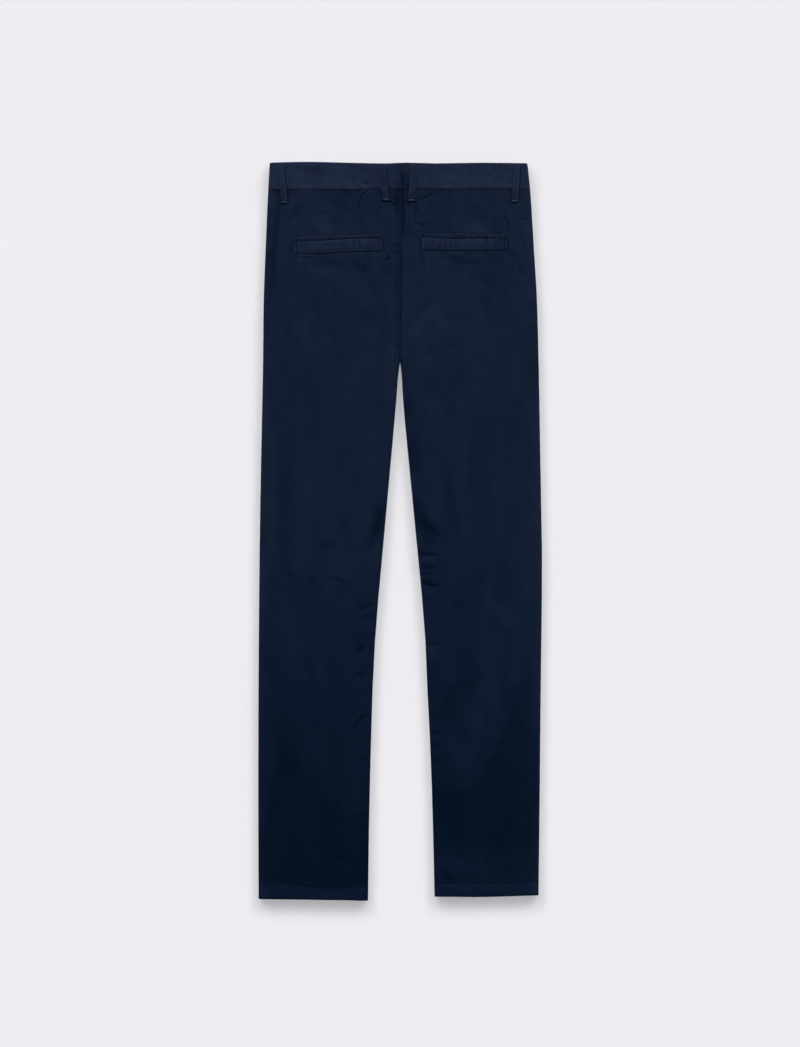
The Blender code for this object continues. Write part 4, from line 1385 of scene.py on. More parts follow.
def panel_rows(side, runs):
    hem_start = HEM[side] - HEM_DEPTH - HEM_MARGIN
    parts = [PANEL_START + np.array(TUCK_ROWS + TOP_ROWS)]
    for run in runs:
        end = min(run.end, hem_start)
        parts.append(np.linspace(run.start, end, int((end - run.start) / run.step), endpoint=False))
    parts.append(np.linspace(hem_start, HEM[side] - HEM_LAST_ROW, HEM_BODY_ROWS))
    return np.concatenate(parts + [HEM[side] - np.array(HEM_ROWS)])


def column_shares(inner_step, outer_step):
    """Shares of a panel's width for its columns, whose steps grow from the centre to the side seam."""
    places = [0.0]
    while places[-1] < COLUMNS_WIDTH:
        places.append(places[-1] + lerp(inner_step, outer_step, float(smooth((places[-1] - 30) / 60))))
    return np.array(places) / places[-1]


def panel_columns(start, end, inside):
    """Columns from the inner to the outer edge at each row, even where the cloth curls."""
    shares = np.arange(CURL_COLUMNS + 1) / CURL_COLUMNS * CURL
    first = start[:, None] + shares[None, :]
    last = end[:, None] - shares[None, ::-1]
    centre = lerp(first[:, -1:], last[:, :1], inside[None, 1:-1])
    return np.concatenate([first, centre, last], axis=1)


def rounding(rows, columns, sides):
    """How far the outer and inner skins draw together at the rims, so that cut edges look rounded."""
    shares = np.zeros((rows, columns))
    for k, share in enumerate(ROUNDED):
        shares[k, :] = np.maximum(shares[k, :], share)
        shares[-1 - k, :] = np.maximum(shares[-1 - k, :], share)
    for column, share in zip((0, 1, -1), (ROUNDED[0], ROUNDED[2], ROUNDED[2]) if sides else ()):
        shares[:, column] = np.maximum(shares[:, column], share)
    return shares


def lapped(out, start):
    """1 on the columns that go under the other half, and 0 from just before the start on."""
    return 1 - smooth((out - start + 0.6) / 0.5)


def spread_extreme(values, reach, extreme):
    """Each value replaced by the lowest or highest one within a reach of rows and columns."""
    for axis in (0, 1):
        result = values
        for shift in range(1, reach + 1):
            for step in (shift, -shift):
                moved = np.roll(values, step, axis)
                edge = [slice(None), slice(None)]
                edge[axis] = slice(0, shift) if step > 0 else slice(-shift, None)
                moved[tuple(edge)] = values[tuple(edge)]
                result = extreme(result, moved)
        values = result
    return values


def panel(side, face, relief_of, tone_of, runs, inside, outer_line):
    rows = panel_rows(side, runs)
    start = inner_edge(side, face, rows)
    out = panel_columns(start, outer_line(side, rows), inside)
    lap = np.zeros(len(rows))
    if side == "right":
        lap = lerp(1.0, LEG_LAP, smooth((rows - CROTCH + LAP_FADE_ABOVE) / LAP_FADE))
        out = np.concatenate([start[:, None] + lap[:, None] * np.array(UNDERLAP_COLUMNS), out], axis=1)
    down = np.broadcast_to(rows[:, None], out.shape)
    relief = relief_of(side, out, down)
    relief += TUCK_DEPTH[face] * (1 - smooth((down - PANEL_START + 0.6) / 0.5))
    relief += UNDERLAP_DEPTH[face] * lap[:, None] * lapped(out, start[:, None])
    relief = pressed(relief)
    thin = CLOTH * rounding(*out.shape, sides=True)
    outer = lay(side, face, down, out, thin, relief=relief)
    # the lining keeps clear of the outer skin between its few rows and columns
    skip = LINING_SKIP[face]
    deepest = spread_extreme(relief, skip, np.minimum if face == "back" else np.maximum)
    deepest[:2], deepest[-2:] = relief[:2], relief[-2:]
    deepest[:, :2], deepest[:, -2:] = relief[:, :2], relief[:, -2:]
    inner = lay(side, face, down, out, CLOTH - thin, relief=deepest)
    tone = tone_of(side, SIGN[side] * out, down, relief)
    return shell(f"{face}_leg_{side}", outer, inner, LEG_TWILL, tone, skip)


POCKET_OUT, POCKET_END = 146.0, 205.0


def pocket_line(side, down):
    """The front pocket's slanted opening, from the band to the side seam."""
    along = (down - BAND_HEIGHT) / (POCKET_END - BAND_HEIGHT)
    return np.minimum(side_edge(side, down), lerp(POCKET_OUT, side_edge(side, POCKET_END), along))


PANELS = {}
for side in SIGN:
    shares = column_shares(BACK_INNER_STEP, BACK_OUTER_STEP)
    back = panel(side, "back", back_relief, back_tone, BACK_ROWS, shares, side_edge)
    shares = column_shares(FRONT_STEP, FRONT_STEP)
    front = panel(side, "front", front_relief, front_tone, FRONT_ROWS, shares, pocket_line)
    declare(back, "leg_twill", f"back_panel_{side}")
    declare(front, "leg_twill", f"front_panel_{side}")
    PANELS[side, "back"], PANELS[side, "front"] = back, front

# The facings of the front pockets.

FACING_UNDERLAP, FACING_STEP, FACING_END = 16.0, 10.0, 196.0
FACING_DEPTH = 1.2 + SEAM_GAP
FACING_ROWS, FACING_HIDDEN_COLUMNS, FACING_COLUMNS = 60, 14, 22


def facing(side):
    rows = np.linspace(PANEL_START, FACING_END, FACING_ROWS)[:, None]
    line, edge = pocket_line(side, rows), side_edge(side, rows)
    hidden = lerp(line - FACING_UNDERLAP, line, np.linspace(0, 1, FACING_HIDDEN_COLUMNS)[None, :-1])
    shown = lerp(line, edge, np.linspace(0, 1, FACING_COLUMNS)[None, :])
    out = np.concatenate([hidden, shown], axis=1)
    down = np.broadcast_to(rows, out.shape)
    below = FACING_DEPTH * (1 - smooth((out - line - 1) / FACING_STEP))
    tone = front_tone(side, SIGN[side] * out, down, 0.0) + 0.04
    thin = CLOTH * rounding(*out.shape, sides=True)
    outer = lay(side, "front", down, out, below + thin)
    inner = lay(side, "front", down, out, below + CLOTH - thin)
    return shell(f"pocket_facing_{side}", outer, inner, LEG_TWILL, tone)


for side in SIGN:
    piece = facing(side)
    declare(piece, "leg_twill", f"front_pocket_facing_{side}")
    declare_sheet(piece)

# The waistband.

BAND_FRONT_TONE = 0.9
BAND_STITCH_INSET = 1.9
BAND_STITCH_DOWNS = (BAND_STITCH_INSET, BAND_HEIGHT - BAND_STITCH_INSET)
BAND_UNDERLAP = {"back": -2.15, "front": 2.1}
BAND_DEEPEST = 3.0
LAP_CLOTH = 0.6
# the lap is nearly nothing at the top edge, so that it doesn't show there, and grows below it
LAP_LEAST, LAP_START, LAP_GROWTH = 0.02, 0.8, 3.0
BAND_END = BAND_HEIGHT + 0.5
BAND_TOP_ROWS, BAND_BODY_ROWS, BAND_END_ROWS = (0.0, 0.4, 1.0), 44, (0.7, 0.3, 0.0)
BAND_COLUMNS = {"back": 110, "front": 70}
BAND_INNER_ROUNDING = 0.3
# the edges and stitched lines that are pressed in, and the puckers along the lower and the upper line
BAND_TOP_EDGE, BAND_LOW_EDGE, BAND_STITCHED = Line(0.28, 1.0), Line(0.084, 0.6), Line(0.16, 0.7)
LOW_PUCKER, TOP_PUCKER = Pucker(0.10, 4.5, 6.4, 5.0), Pucker(0.06, 4.0, 7.3, 8.0)
BAND_FRONT_STAND, BAND_EDGE_SHARE = 0.12, 0.3
BAND_SWELLS, BAND_FRONT_SWELL = rows_of(Swell, (0.16, 60, 71), (0.05, 17, 72)), Swell(0.10, 60, 73)


def band_relief(side, face, out, down):
    x = SIGN[side] * out
    if face == "back":
        relief = crease_field([c for c in BAND_CREASES if (c.x > 4.0) == (side == "right")], x, down)
        relief += swells(BAND_SWELLS, x, down)
    else:
        relief = BAND_FRONT_STAND + swell(BAND_FRONT_SWELL, x, down)
    upper, lower = (np.abs(down - stitched) for stitched in BAND_STITCH_DOWNS)
    hollow = line_at(BAND_TOP_EDGE, down) + line_at(BAND_LOW_EDGE, down - BAND_END)
    hollow = hollow + line_at(BAND_STITCHED, upper) + line_at(BAND_STITCHED, lower)
    relief += -hollow if face == "back" else hollow
    relief += pucker_at(LOW_PUCKER, lower, x, SIGN[side]) + pucker_at(TOP_PUCKER, upper, x, SIGN[side])
    relief = relief * lerp(BAND_EDGE_SHARE, 1.0, smooth((side_edge(side, down) - out) / CURL))
    return relief if face == "back" else np.maximum(relief, 0.0)


def band_skins(side, face, rows):
    """The outer and inner points of one half's back or front, from the centre outwards, and their tones."""
    start = inner_edge(side, face, np.maximum(rows, PANEL_START + 0.5))
    edge = side_edge(side, rows)
    inside = lerp(start, edge - CURL, np.linspace(0, 1, BAND_COLUMNS[face])[None, :])
    curl = edge - np.arange(CURL_COLUMNS)[None, ::-1] / CURL_COLUMNS * CURL
    reach = lerp(LAP_LEAST, 1.0, smooth((rows - LAP_START) / LAP_GROWTH)) if side == "right" else LAP_LEAST
    out = np.concatenate([start + np.array(UNDERLAP_COLUMNS) * reach, inside, curl], axis=1)
    down = np.broadcast_to(rows, out.shape)
    relief = band_relief(side, face, out, down)
    cloth = np.full(out.shape, BAND_CLOTH)
    if side == "right":
        relief = np.clip(relief + BAND_UNDERLAP[face] * lapped(out, start), -BAND_DEEPEST, BAND_DEEPEST)
        cloth[:, : len(UNDERLAP_COLUMNS)] = LAP_CLOTH
    thin = rounding(*out.shape, sides=False)
    thin[:, 0] = np.maximum(thin[:, 0], BAND_INNER_ROUNDING)
    skins = [lay(side, face, down, out, cloth * share, BAND_TOP, 0.0, relief) for share in (thin, 1 - thin)]
    tone = band_tone(side, SIGN[side] * out, down) if face == "back" else np.full(out.shape, BAND_FRONT_TONE)
    return skins + [tone]


def band(side):
    """One half, from the centre back seam round the side to the fly."""
    body = np.linspace(1.6, BAND_END - 1.2, BAND_BODY_ROWS)
    rows = np.concatenate([BAND_TOP_ROWS, body, BAND_END - np.array(BAND_END_ROWS)])[:, None]
    back, front = (band_skins(side, face, rows) for face in ("back", "front"))
    outer, inner, tone = (np.concatenate([b, f[:, -2::-1]], axis=1) for b, f in zip(back, front))
    return shell(f"waistband_{side}_cloth", outer, inner, BAND_TWILL, tone)


for side in SIGN:
    piece = band(side)
    declare(piece, "band_twill", f"waistband_{side}")
    PANELS[side, "band"] = piece


# Threads. Each kind's stitches are gathered, and made into one piece for each face at the end.

ThreadKind = namedtuple("ThreadKind", "name material radius")
THREADS = rows_of(
    ThreadKind,
    ("stitches", NAVY_THREAD, 0.25),
    ("hem_stitches", HEM_THREAD, 0.25),
    ("bars", BAR_THREAD, 0.25),
    ("tacks", TACK_THREAD, 0.26),
)
FACE_UP = {"back": ("up", 1.0), "front": ("down", -1.0)}
# the points where each kind's stitches start and stop
RUNS = {(kind.name, face): ([], []) for face in FACE_UP for kind in THREADS}
STITCH_PITCH, STITCH_LENGTH = 3.1, 2.35
# the seams' threads lie a little proud of the cloth
THREAD_DEPTH = -0.02


def add_stitch(kind, face, start, stop):
    starts, stops = RUNS[kind, face]
    starts.append(start)
    stops.append(stop)


def stitch_line(kind, face, place, length):
    """Stitches along a line, where place gives the point at a distance along it."""
    count = int(length / STITCH_PITCH)
    gap = length / count
    for k in range(count):
        start = (k + 0.12) * gap
        add_stitch(kind, face, place(start), place(start + STITCH_LENGTH * gap / STITCH_PITCH))


def bar_tack(kind, face, centre, length, width, count, upright=False, slant=0.0):
    """A satin bar: short threads side by side along it, which lies across the garment or stands upright."""
    x, y, z = centre
    for k in range(count):
        along = length * (k / (count - 1) - 0.5)
        wander = 0.12 * math.sin(7.3 * k + x)
        ends = ((along, wander - width / 2), (along + 0.1, wander + width / 2))
        if upright:
            ends = ((b + slant * along, a) for a, b in ends)
        add_stitch(kind, face, *((x + dx, y + dy, z) for dx, dy in ends))


# The belt loops.

LOOP_BODY_ROWS, LOOP_BODY_START, LOOP_END_ROWS = 60, 1.4, np.array([0.0, 0.25, 0.7])
LOOP_EDGE = np.array([-1.0, -0.985, -0.94, -0.86])
LOOP_COLUMNS = np.concatenate([LOOP_EDGE, np.linspace(-0.75, 0.75, 11), -LOOP_EDGE[::-1]])
LOOP_WAIST, LOOP_ROUNDNESS = 0.04, 6
LOOP_SEED, LOOP_SWELL, LOOP_TONE_SWELL = 90, Swell(0.10, 14, 0), Swell(0.05, 12, 1)
# the heights that a loop lies on, and the ramp between them
LOOP_ON_BAND, LOOP_ON_PANEL, LOOP_RAMP_START, LOOP_RAMP = BAND_TOP - 0.15, PANEL_TOP - 0.1, 38.0, 12.0
# the bow along a loop's middle and the one at its lower end, as heights and shares of its length
LOOP_BOW, LOOP_BOW_END, LOOP_END_BOW, LOOP_END_BOW_START = 0.20, 0.7, 0.35, 0.72
# heights over the surface of a hidden loop, its stitches and its tacks
HIDDEN_LOOP, HIDDEN_STITCH, HIDDEN_TACK = 0.5 * LOOP_THICK + 0.12, 0.16, 0.22
# the rows of stitches along a loop's two edges, as a share of half its width, and the tacks at its ends
RAIL, RAIL_START, RAIL_END, RAIL_PITCH, RAIL_STITCH = 0.70, 3.5, 6.5, 3.0, 2.3
TACK_START, TACK_END, TACK_THREADS, TACK_PRESS = 2.0, 1.9, 24, Line(0.22, 1.6)
# the pressed rows, the painted highlight near the raised edge, and the painted shade at the edges, on the low
# side and above the lower tack
RAIL_LINE, RAISED_EDGE_HIGHLIGHT, RAISED_EDGE_HIGHLIGHT_SHARE = Line(-0.06, 0.10), Line(0.45, 0.20), 0.72
DARK_EDGE, LOW_EDGE_SHADE, OVER_TACK, OVER_TACK_UP = Line(-0.10, 0.12), 0.12, Line(-0.45, 1.1), 4.6


def loop_base(down):
    """The top of what a loop lies on: the band, then a short ramp to the panel."""
    return lerp(LOOP_ON_BAND, LOOP_ON_PANEL, smooth((down - LOOP_RAMP_START) / LOOP_RAMP))


def loop_rise(loop, down, across):
    """How far a loop stands off: it bows up between its tacks, and one long edge stands higher."""
    share = (down - LOOP_START) / (loop.end - LOOP_START)
    bow = LOOP_BOW * np.sin(math.pi * np.clip(share / LOOP_BOW_END, 0, 1))
    bow = bow + LOOP_END_BOW * smooth((share - LOOP_END_BOW_START) / 0.1)
    tilt = 0.5 * (loop.tilt * across + abs(loop.tilt))
    return bow + tilt * np.sin(math.pi * np.clip(share, 0.02, 0.98)) ** 0.6


def loop_point(loop, down, across, above, hidden_height):
    """A point over a loop's top, or at a height over the surface where the loop is on the hidden front."""
    out = loop_middle(loop, down) + across * loop.width / 2
    point = point_on(loop.side, loop.face, out, down, top=BAND_TOP, gap=0.0)
    point[2] = loop_base(down) + LOOP_STAND + above if loop.face == "back" else hidden_height
    return point


def belt_loop(loop):
    start, end = LOOP_START, loop.end
    body = np.linspace(start + LOOP_BODY_START, end - LOOP_BODY_START, LOOP_BODY_ROWS)
    down = np.concatenate([start + LOOP_END_ROWS, body, end - LOOP_END_ROWS[::-1]])[:, None]
    down, across = np.broadcast_arrays(down, LOOP_COLUMNS[None, :])
    width = loop.width * (1 - LOOP_WAIST * np.sin(math.pi * (down - start) / (end - start)))
    out = loop_middle(loop, down) + 0.5 * width * across
    beside = np.abs(across)
    roundness = np.sqrt(np.clip(1 - beside**LOOP_ROUNDNESS, 0, 1))
    ends = np.minimum(1, np.minimum(down - start, end - down) / 1.2 + 0.25)
    tacked = line_at(TACK_PRESS, down - start - TACK_START) + line_at(TACK_PRESS, down - end + TACK_START)
    half = 0.5 * LOOP_THICK * (0.25 + 0.75 * roundness * np.sqrt(ends)) * (1 - tacked)
    half = half + line_at(RAIL_LINE, beside - RAIL)
    seed = LOOP_SEED + loop.out
    if loop.face == "back":
        soft = swell(LOOP_SWELL, out, down, int(seed)) + 0.05 * puckers(down, 6.5, seed) * beside
        middle = loop_base(down) + LOOP_STAND - 0.5 * LOOP_THICK + soft + loop_rise(loop, down, across)
    else:
        middle = HIDDEN_LOOP
    upper = lay(loop.side, loop.face, down, out, top=BAND_TOP, gap=0.0)
    lower = upper.copy()
    upper[..., 2] = middle + half
    lower[..., 2] = middle - half
    raised = across * np.sign(loop.tilt)
    tone = lerp(loop.tone, 1.0, smooth((down - 30) / 10)) + swell(LOOP_TONE_SWELL, out, down, int(seed))
    # painted highlight near the raised edge; painted shade at the edges, on the low side and above the lower
    # tack
    tone = tone + loop.line * line_at(RAISED_EDGE_HIGHLIGHT, raised - RAISED_EDGE_HIGHLIGHT_SHARE) + line_at(DARK_EDGE, beside - 1)
    tone = tone - LOW_EDGE_SHADE * smooth(-raised) * smooth((down - 34) / 6)
    tone = tone + line_at(OVER_TACK, down - end + OVER_TACK_UP)
    return shell(f"belt_loop_{loop.name}_cloth", upper, lower, BAND_TWILL, tone)


def loop_stitches(loop):
    """A row of stitches along each edge, and a tack at each end, the lower one in a paler thread whose
    paleness is a painted highlight.
    """
    for rail in (-RAIL, RAIL):
        for row in np.arange(LOOP_START + RAIL_START, loop.end - RAIL_END, RAIL_PITCH):
            ends = (
                loop_point(loop, down, rail, loop_rise(loop, down, rail) - 0.06, HIDDEN_STITCH)
                for down in (row, row + RAIL_STITCH)
            )
            add_stitch("stitches", loop.face, *ends)
    low_kind = "bars" if loop.side == "right" and loop.face == "back" else "tacks"
    for kind, down, above, width in (
        ("stitches", LOOP_START + TACK_START, 0.1, 1.8),
        (low_kind, loop.end - TACK_END, 0.5, 2.3),
    ):
        centre = loop_point(loop, down, 0.0, above, HIDDEN_TACK)
        bar_tack(kind, loop.face, centre, loop.width * loop.tack, width, TACK_THREADS)


LOOP_PIECES = {side: [] for side in SIGN}
for loop in LOOPS:
    piece = belt_loop(loop)
    declare(piece, "band_twill", f"belt_loop_{loop.name}")
    LOOP_PIECES[loop.side].append(piece)
    loop_stitches(loop)

# The welts and lips of the back pockets.

# where the stitches run along a welt and its lip, as shares of their heights down from the upper edge
STITCH_SHARE, LIP_STITCH_SHARE = 0.84, 0.18
STRIP_BED = 0.22
# the pressed lines inside a welt's ends, along its stitches and along its folded edge
GROOVE_DEPTH, GROOVE_WIDTH, GROOVE_INNER, GROOVE_OUTER = 0.45, {"left": 0.9, "right": 1.8}, 3.4, 3.6
WELT_STITCHED, WELT_FOLDED, WELT_FOLDED_SHARE = Line(-0.22, 0.05), Line(-0.14, 0.05), 0.10
WELT_PUCKER, WELT_PUCKER_SPACING, LIP_PUCKER, LIP_PUCKER_SPACING = 0.10, 7.6, 0.20, 8.8
# the welt's and lip's own tones, and the welt's raised folds lighter with wear and painted light, its pressed
# ones darker with painted shade
WELT_TONE, WELT_FOLD_WEAR_AND_SHADE, LIP_TONE = 0.90, 0.26, 0.84
# the left welt's dark line above its stitches, and the right one's dark outer end
LEFT_DARK_OUT, LEFT_DARK_RUN, LEFT_DARK, LEFT_DARK_SHARE = 92, 24, Line(0.18, 0.045), 0.755
RIGHT_DARK_OUT, RIGHT_DARK = 144, Line(0.14, 10)
# the painted highlight on the welts' folded edges
WELT_LIGHT_OUT, WELT_LIGHT_RUN, WELT_LIGHT, WELT_LIGHT_SHARE = 98, 16, Line(0.12, 0.05), 0.06
# where the lip is held by stitches, and how it goes down into the pocket
LIP_HELD, LIP_HELD_PITCH, LIP_INTO, LIP_INTO_SHARE = Line(-0.25, 0.12), 6.2, -0.45, 0.55
WELT_SWELL, WELT_TONE_SWELL = Swell(0.04, 12, 95), Swell(0.05, 14, 96)
LIP_SWELL, LIP_TONE_SWELL = Swell(0.05, 12, 97), Swell(0.08, 9, 98)
LIP_SHADE = {"left": 0.06, "right": 0.11}


def end_grooves(welt, out):
    """The pressed lines just inside a welt's two ends."""
    outer = bell(welt.outer_out - out - GROOVE_OUTER, GROOVE_WIDTH[welt.side])
    return bell(out - welt.inner_out - GROOVE_INNER, 0.8) + outer


def welt_relief(welt, out, down, across):
    pull = welt_folds(welt, out) * (0.25 + 0.75 * smooth((0.95 - across) / 0.5))
    pull = pull + WELT_PUCKER * puckers(out, WELT_PUCKER_SPACING, welt.seed)
    seams = line_at(WELT_STITCHED, across - STITCH_SHARE) + line_at(WELT_FOLDED, across - WELT_FOLDED_SHARE)
    grooves = GROOVE_DEPTH * end_grooves(welt, out) * smooth((0.97 - across) / 0.1)
    return pull * bell(across - 0.5, 0.5) + seams - grooves + swell(WELT_SWELL, out, down)


def welt_tone(welt, out, down, across):
    """Worn and lit on its raised folds and puckers, with painted shade in the pressed ones, in its end
    grooves and along its stitches, and a painted highlight by its opening.
    """
    if welt.side == "left":
        dark = bell(out - LEFT_DARK_OUT, LEFT_DARK_RUN) * line_at(LEFT_DARK, across - LEFT_DARK_SHARE)
    else:
        dark = line_at(RIGHT_DARK, out - RIGHT_DARK_OUT)
    dark = dark + 0.10 * bell(across - STITCH_SHARE, WELT_STITCHED.width)
    dark = dark + end_grooves(welt, out) * (0.14 + 0.40 * smooth((out - 60) / 40))
    worn_and_shaded = WELT_TONE + 0.04 * puckers(out, WELT_PUCKER_SPACING, welt.seed) + swell(WELT_TONE_SWELL, out, down)
    worn_and_shaded = worn_and_shaded + WELT_FOLD_WEAR_AND_SHADE * welt_folds(welt, out) * (0.4 + 0.6 * smooth((0.95 - across) / 0.5))
    light = line_at(WELT_LIGHT, across - WELT_LIGHT_SHARE) * bell(out - WELT_LIGHT_OUT, WELT_LIGHT_RUN)
    return worn_and_shaded + light - dark


def lip_relief(welt, out, down, across):
    held = 0.5 + 0.5 * np.cos(2 * math.pi * out / LIP_HELD_PITCH)
    held = held * line_at(LIP_HELD, across - LIP_STITCH_SHARE)
    into = LIP_INTO * smooth((across - LIP_INTO_SHARE) / 0.3)
    soft = LIP_PUCKER * puckers(out, LIP_PUCKER_SPACING, welt.seed + 1) + swell(LIP_SWELL, out, down)
    return soft + held + into


def lip_tone(welt, out, down, across):
    # painted light and shade over the lip's puckers, and painted shade where it goes down into the opening
    worn_and_shaded = LIP_TONE + 0.09 * puckers(out, LIP_PUCKER_SPACING, welt.seed + 1)
    return worn_and_shaded + swell(LIP_TONE_SWELL, out, down) - LIP_SHADE[welt.side] * smooth((across - 0.25) / 0.3)


Strip = namedtuple("Strip", "name inset upper lower thick relief tone columns rows")
WELT_STRIP = Strip("welt", 0.0, welt_upper, welt_lower, WELT_THICK, welt_relief, welt_tone, 180, 24)
LIP_STRIP = Strip("lip", LIP_INSET, lip_upper, lip_lower, LIP_THICK, lip_relief, lip_tone, 120, 10)
STRIP_ENDS, STRIP_EDGE_ROWS, STRIP_BODY_START = np.array([0, 0.25, 0.7, 1.3]), np.array([0, 0.02, 0.06]), 0.11
STRIP_END_ROUNDING = 1.4


def strip(welt, kind):
    """A flat strip with soft folded edges that follows the back panel under it."""
    first, last = welt.inner_out + kind.inset, welt.outer_out - kind.inset
    body = np.linspace(STRIP_BODY_START, 1 - STRIP_BODY_START, kind.rows)
    across = np.concatenate([STRIP_EDGE_ROWS, body, 1 - STRIP_EDGE_ROWS[::-1]])[:, None]
    ends = STRIP_ENDS / (last - first)
    middle = np.linspace(ends[-1] * 2, 1 - ends[-1] * 2, kind.columns)
    along = np.concatenate([ends, middle, 1 - ends[::-1]])[None, :]
    out, across = np.broadcast_arrays(lerp(first, last, along), across)
    down = lerp(kind.upper(welt, out), kind.lower(welt, out), across)
    top = lay(welt.side, "back", down, out, relief=back_relief(welt.side, out, down))
    bottom = top.copy()
    from_end = np.clip(np.minimum(out - first, last - out) / STRIP_END_ROUNDING, 0, 1)
    roundness = np.sqrt(np.clip(1 - np.abs(2 * across - 1) ** 10, 0, 1)) * np.sqrt(0.15 + 0.85 * from_end)
    half = 0.5 * kind.thick * (0.2 + 0.8 * roundness)
    middle = top[..., 2] + STRIP_BED + 0.5 * kind.thick
    top[..., 2] = middle + half + kind.relief(welt, out, down, across)
    bottom[..., 2] = middle - half
    tone = kind.tone(welt, out, down, across)
    piece = shell(f"pocket_{kind.name}_{welt.side}", top, bottom, WELT_TWILL, tone)
    declare(piece, "welt_twill", f"back_pocket_{kind.name}_{welt.side}")
    return piece


# the bars that close a welt's ends: which end, how much further out than it, their slants and their widths
Bar = namedtuple("Bar", "side end further slant width")
WELT_BARS = rows_of(
    Bar,
    ("left", "inner_out", 1.2, 0.02, 1.0),
    ("left", "outer_out", -1.4, 0.03, 1.0),
    ("right", "inner_out", 1.2, 0.02, 1.4),
    ("right", "outer_out", -1.4, -0.10, 1.0),
)
BAR_LENGTH, BAR_THREADS = 0.86, 34
ROW_INSET = 1.2
THREADS_ON_WELT = WELT_THICK + 0.20
THREADS_ON_LIP = LIP_THICK + STRIP_BED


def above_back(side, out, down, height):
    point = point_on(side, "back", out, down, relief_of=back_relief)
    point[2] += height
    return point


def on_welt(welt, out, share):
    down = lerp(welt_upper(welt, out), welt_lower(welt, out), share)
    return above_back(welt.side, out, down, THREADS_ON_WELT)


def on_lip(welt, out):
    return above_back(welt.side, out, lip_upper(welt, out) + LIP_STITCH_SHARE * LIP_HEIGHT, THREADS_ON_LIP)


def welt_stitches(welt):
    """A row near the welt's lower edge, bars at its ends and a row on its lip."""
    start, length = welt.inner_out + ROW_INSET, welt.outer_out - welt.inner_out - 2 * ROW_INSET
    stitch_line("stitches", "back", lambda d: on_welt(welt, start + d, STITCH_SHARE), length)
    for bar in WELT_BARS:
        if bar.side == welt.side:
            out = getattr(welt, bar.end) + bar.further
            tall = (welt_lower(welt, out) - welt_upper(welt, out)) * BAR_LENGTH
            centre = on_welt(welt, out, 0.5)
            bar_tack("bars", "back", centre, tall, bar.width, BAR_THREADS, upright=True, slant=bar.slant)
    stitch_line("bars", "back", lambda d: on_lip(welt, start + LIP_INSET + d), length - 2 * LIP_INSET)


for welt in WELTS:
    body, lip = strip(welt, WELT_STRIP), strip(welt, LIP_STRIP)
    declare_sheet(body, (welt.outer_out - welt.inner_out, welt.height))
    welt_stitches(welt)

# Seam stitching.

POCKET_ROWS, POCKET_ROW_START, POCKET_ROW_LENGTH = (1.8, 8.2), 42.0, 148.0
SEAM_ROW_OUT, SEAM_ROW_START, SEAM_ROW_STOP = 2.4, 40.0, CROTCH - 6
# the band's rows start just beside its inner edge and stop where the cloth curls at the side
BAND_ROW_INSET, BAND_ROW_INNER, BAND_ROW_OUTER, BAND_ROW_STOP = 0.8, 40.0, 20.0, 0.8 * CURL
HEM_ROW_INSET = 3.0
FLY_WIDTH, FLY_START, FLY_TURN, FLY_ROUND = 38.0, 40.0, 150.0, 1.15
FLY_ROWS, FLY_ROW_STOP = (0.0, 5.5), 4.0


def on_band(side, face, out, down):
    def relief_of(side, out, down):
        return band_relief(side, face, out, down)

    return point_on(side, face, out, down, THREAD_DEPTH, relief_of, top=BAND_TOP, gap=0.0)


def on_panel(side, face, out, down):
    return point_on(side, face, out, down, THREAD_DEPTH, back_relief if face == "back" else front_relief)


def band_and_hem_rows(side, face):
    start = inner_edge(side, face, BAND_ROW_INNER) + BAND_ROW_INSET
    end = side_edge(side, BAND_ROW_OUTER) - BAND_ROW_STOP - BAND_ROW_INSET
    for down in BAND_STITCH_DOWNS:
        stitch_line("stitches", face, lambda d, down=down: on_band(side, face, start + d, down), end - start)
    hem_down = HEM[side] - HEM_DEPTH
    low, high = inner_edge(side, face, hem_down) + HEM_ROW_INSET, side_edge(side, hem_down) - HEM_ROW_INSET
    stitch_line("hem_stitches", face, lambda d: on_panel(side, face, low + d, hem_down), high - low)


def on_pocket_row(side, inset, distance):
    down = POCKET_ROW_START + distance
    return on_panel(side, "front", pocket_line(side, down) - inset, down)


def on_centre_row(distance):
    down = SEAM_ROW_START + distance
    return on_panel("left", "back", SEAM_ROW_OUT - back_seam_x(down), down)


def on_fly_row(inset, distance):
    """Along the curved row that holds the fly facing: straight down, then round to the centre seam."""
    radius, straight = FLY_WIDTH - inset, FLY_TURN - FLY_START
    if distance < straight:
        return on_panel("left", "front", radius, FLY_START + distance)
    turn = min((distance - straight) / radius, math.pi / 2)
    down = FLY_TURN + FLY_ROUND * radius * math.sin(turn)
    return on_panel("left", "front", radius * math.cos(turn), down)


for side in SIGN:
    for face in FACE_UP:
        band_and_hem_rows(side, face)
    for inset in POCKET_ROWS:
        stitch_line("stitches", "front", partial(on_pocket_row, side, inset), POCKET_ROW_LENGTH)
stitch_line("stitches", "back", on_centre_row, SEAM_ROW_STOP - SEAM_ROW_START)
for inset in FLY_ROWS:
    length = FLY_TURN - FLY_START + (FLY_WIDTH - inset) * math.pi / 2 - FLY_ROW_STOP
    stitch_line("stitches", "front", partial(on_fly_row, inset), length)

for face, (key, up) in FACE_UP.items():
    for kind in THREADS:
        starts, stops = RUNS[kind.name, face]
        if starts:
            piece = stitches(f"{kind.name}_{key}", starts, stops, up, kind.material, kind.radius)
            declare(piece, "band_twill")

# The button, under the front, sewn on with a cross of thread.

BUTTON_RADIUS, BUTTON_THICK, BUTTON_DOWN, BUTTON_SIDES = 8.5, 2.2, 18.5, 64
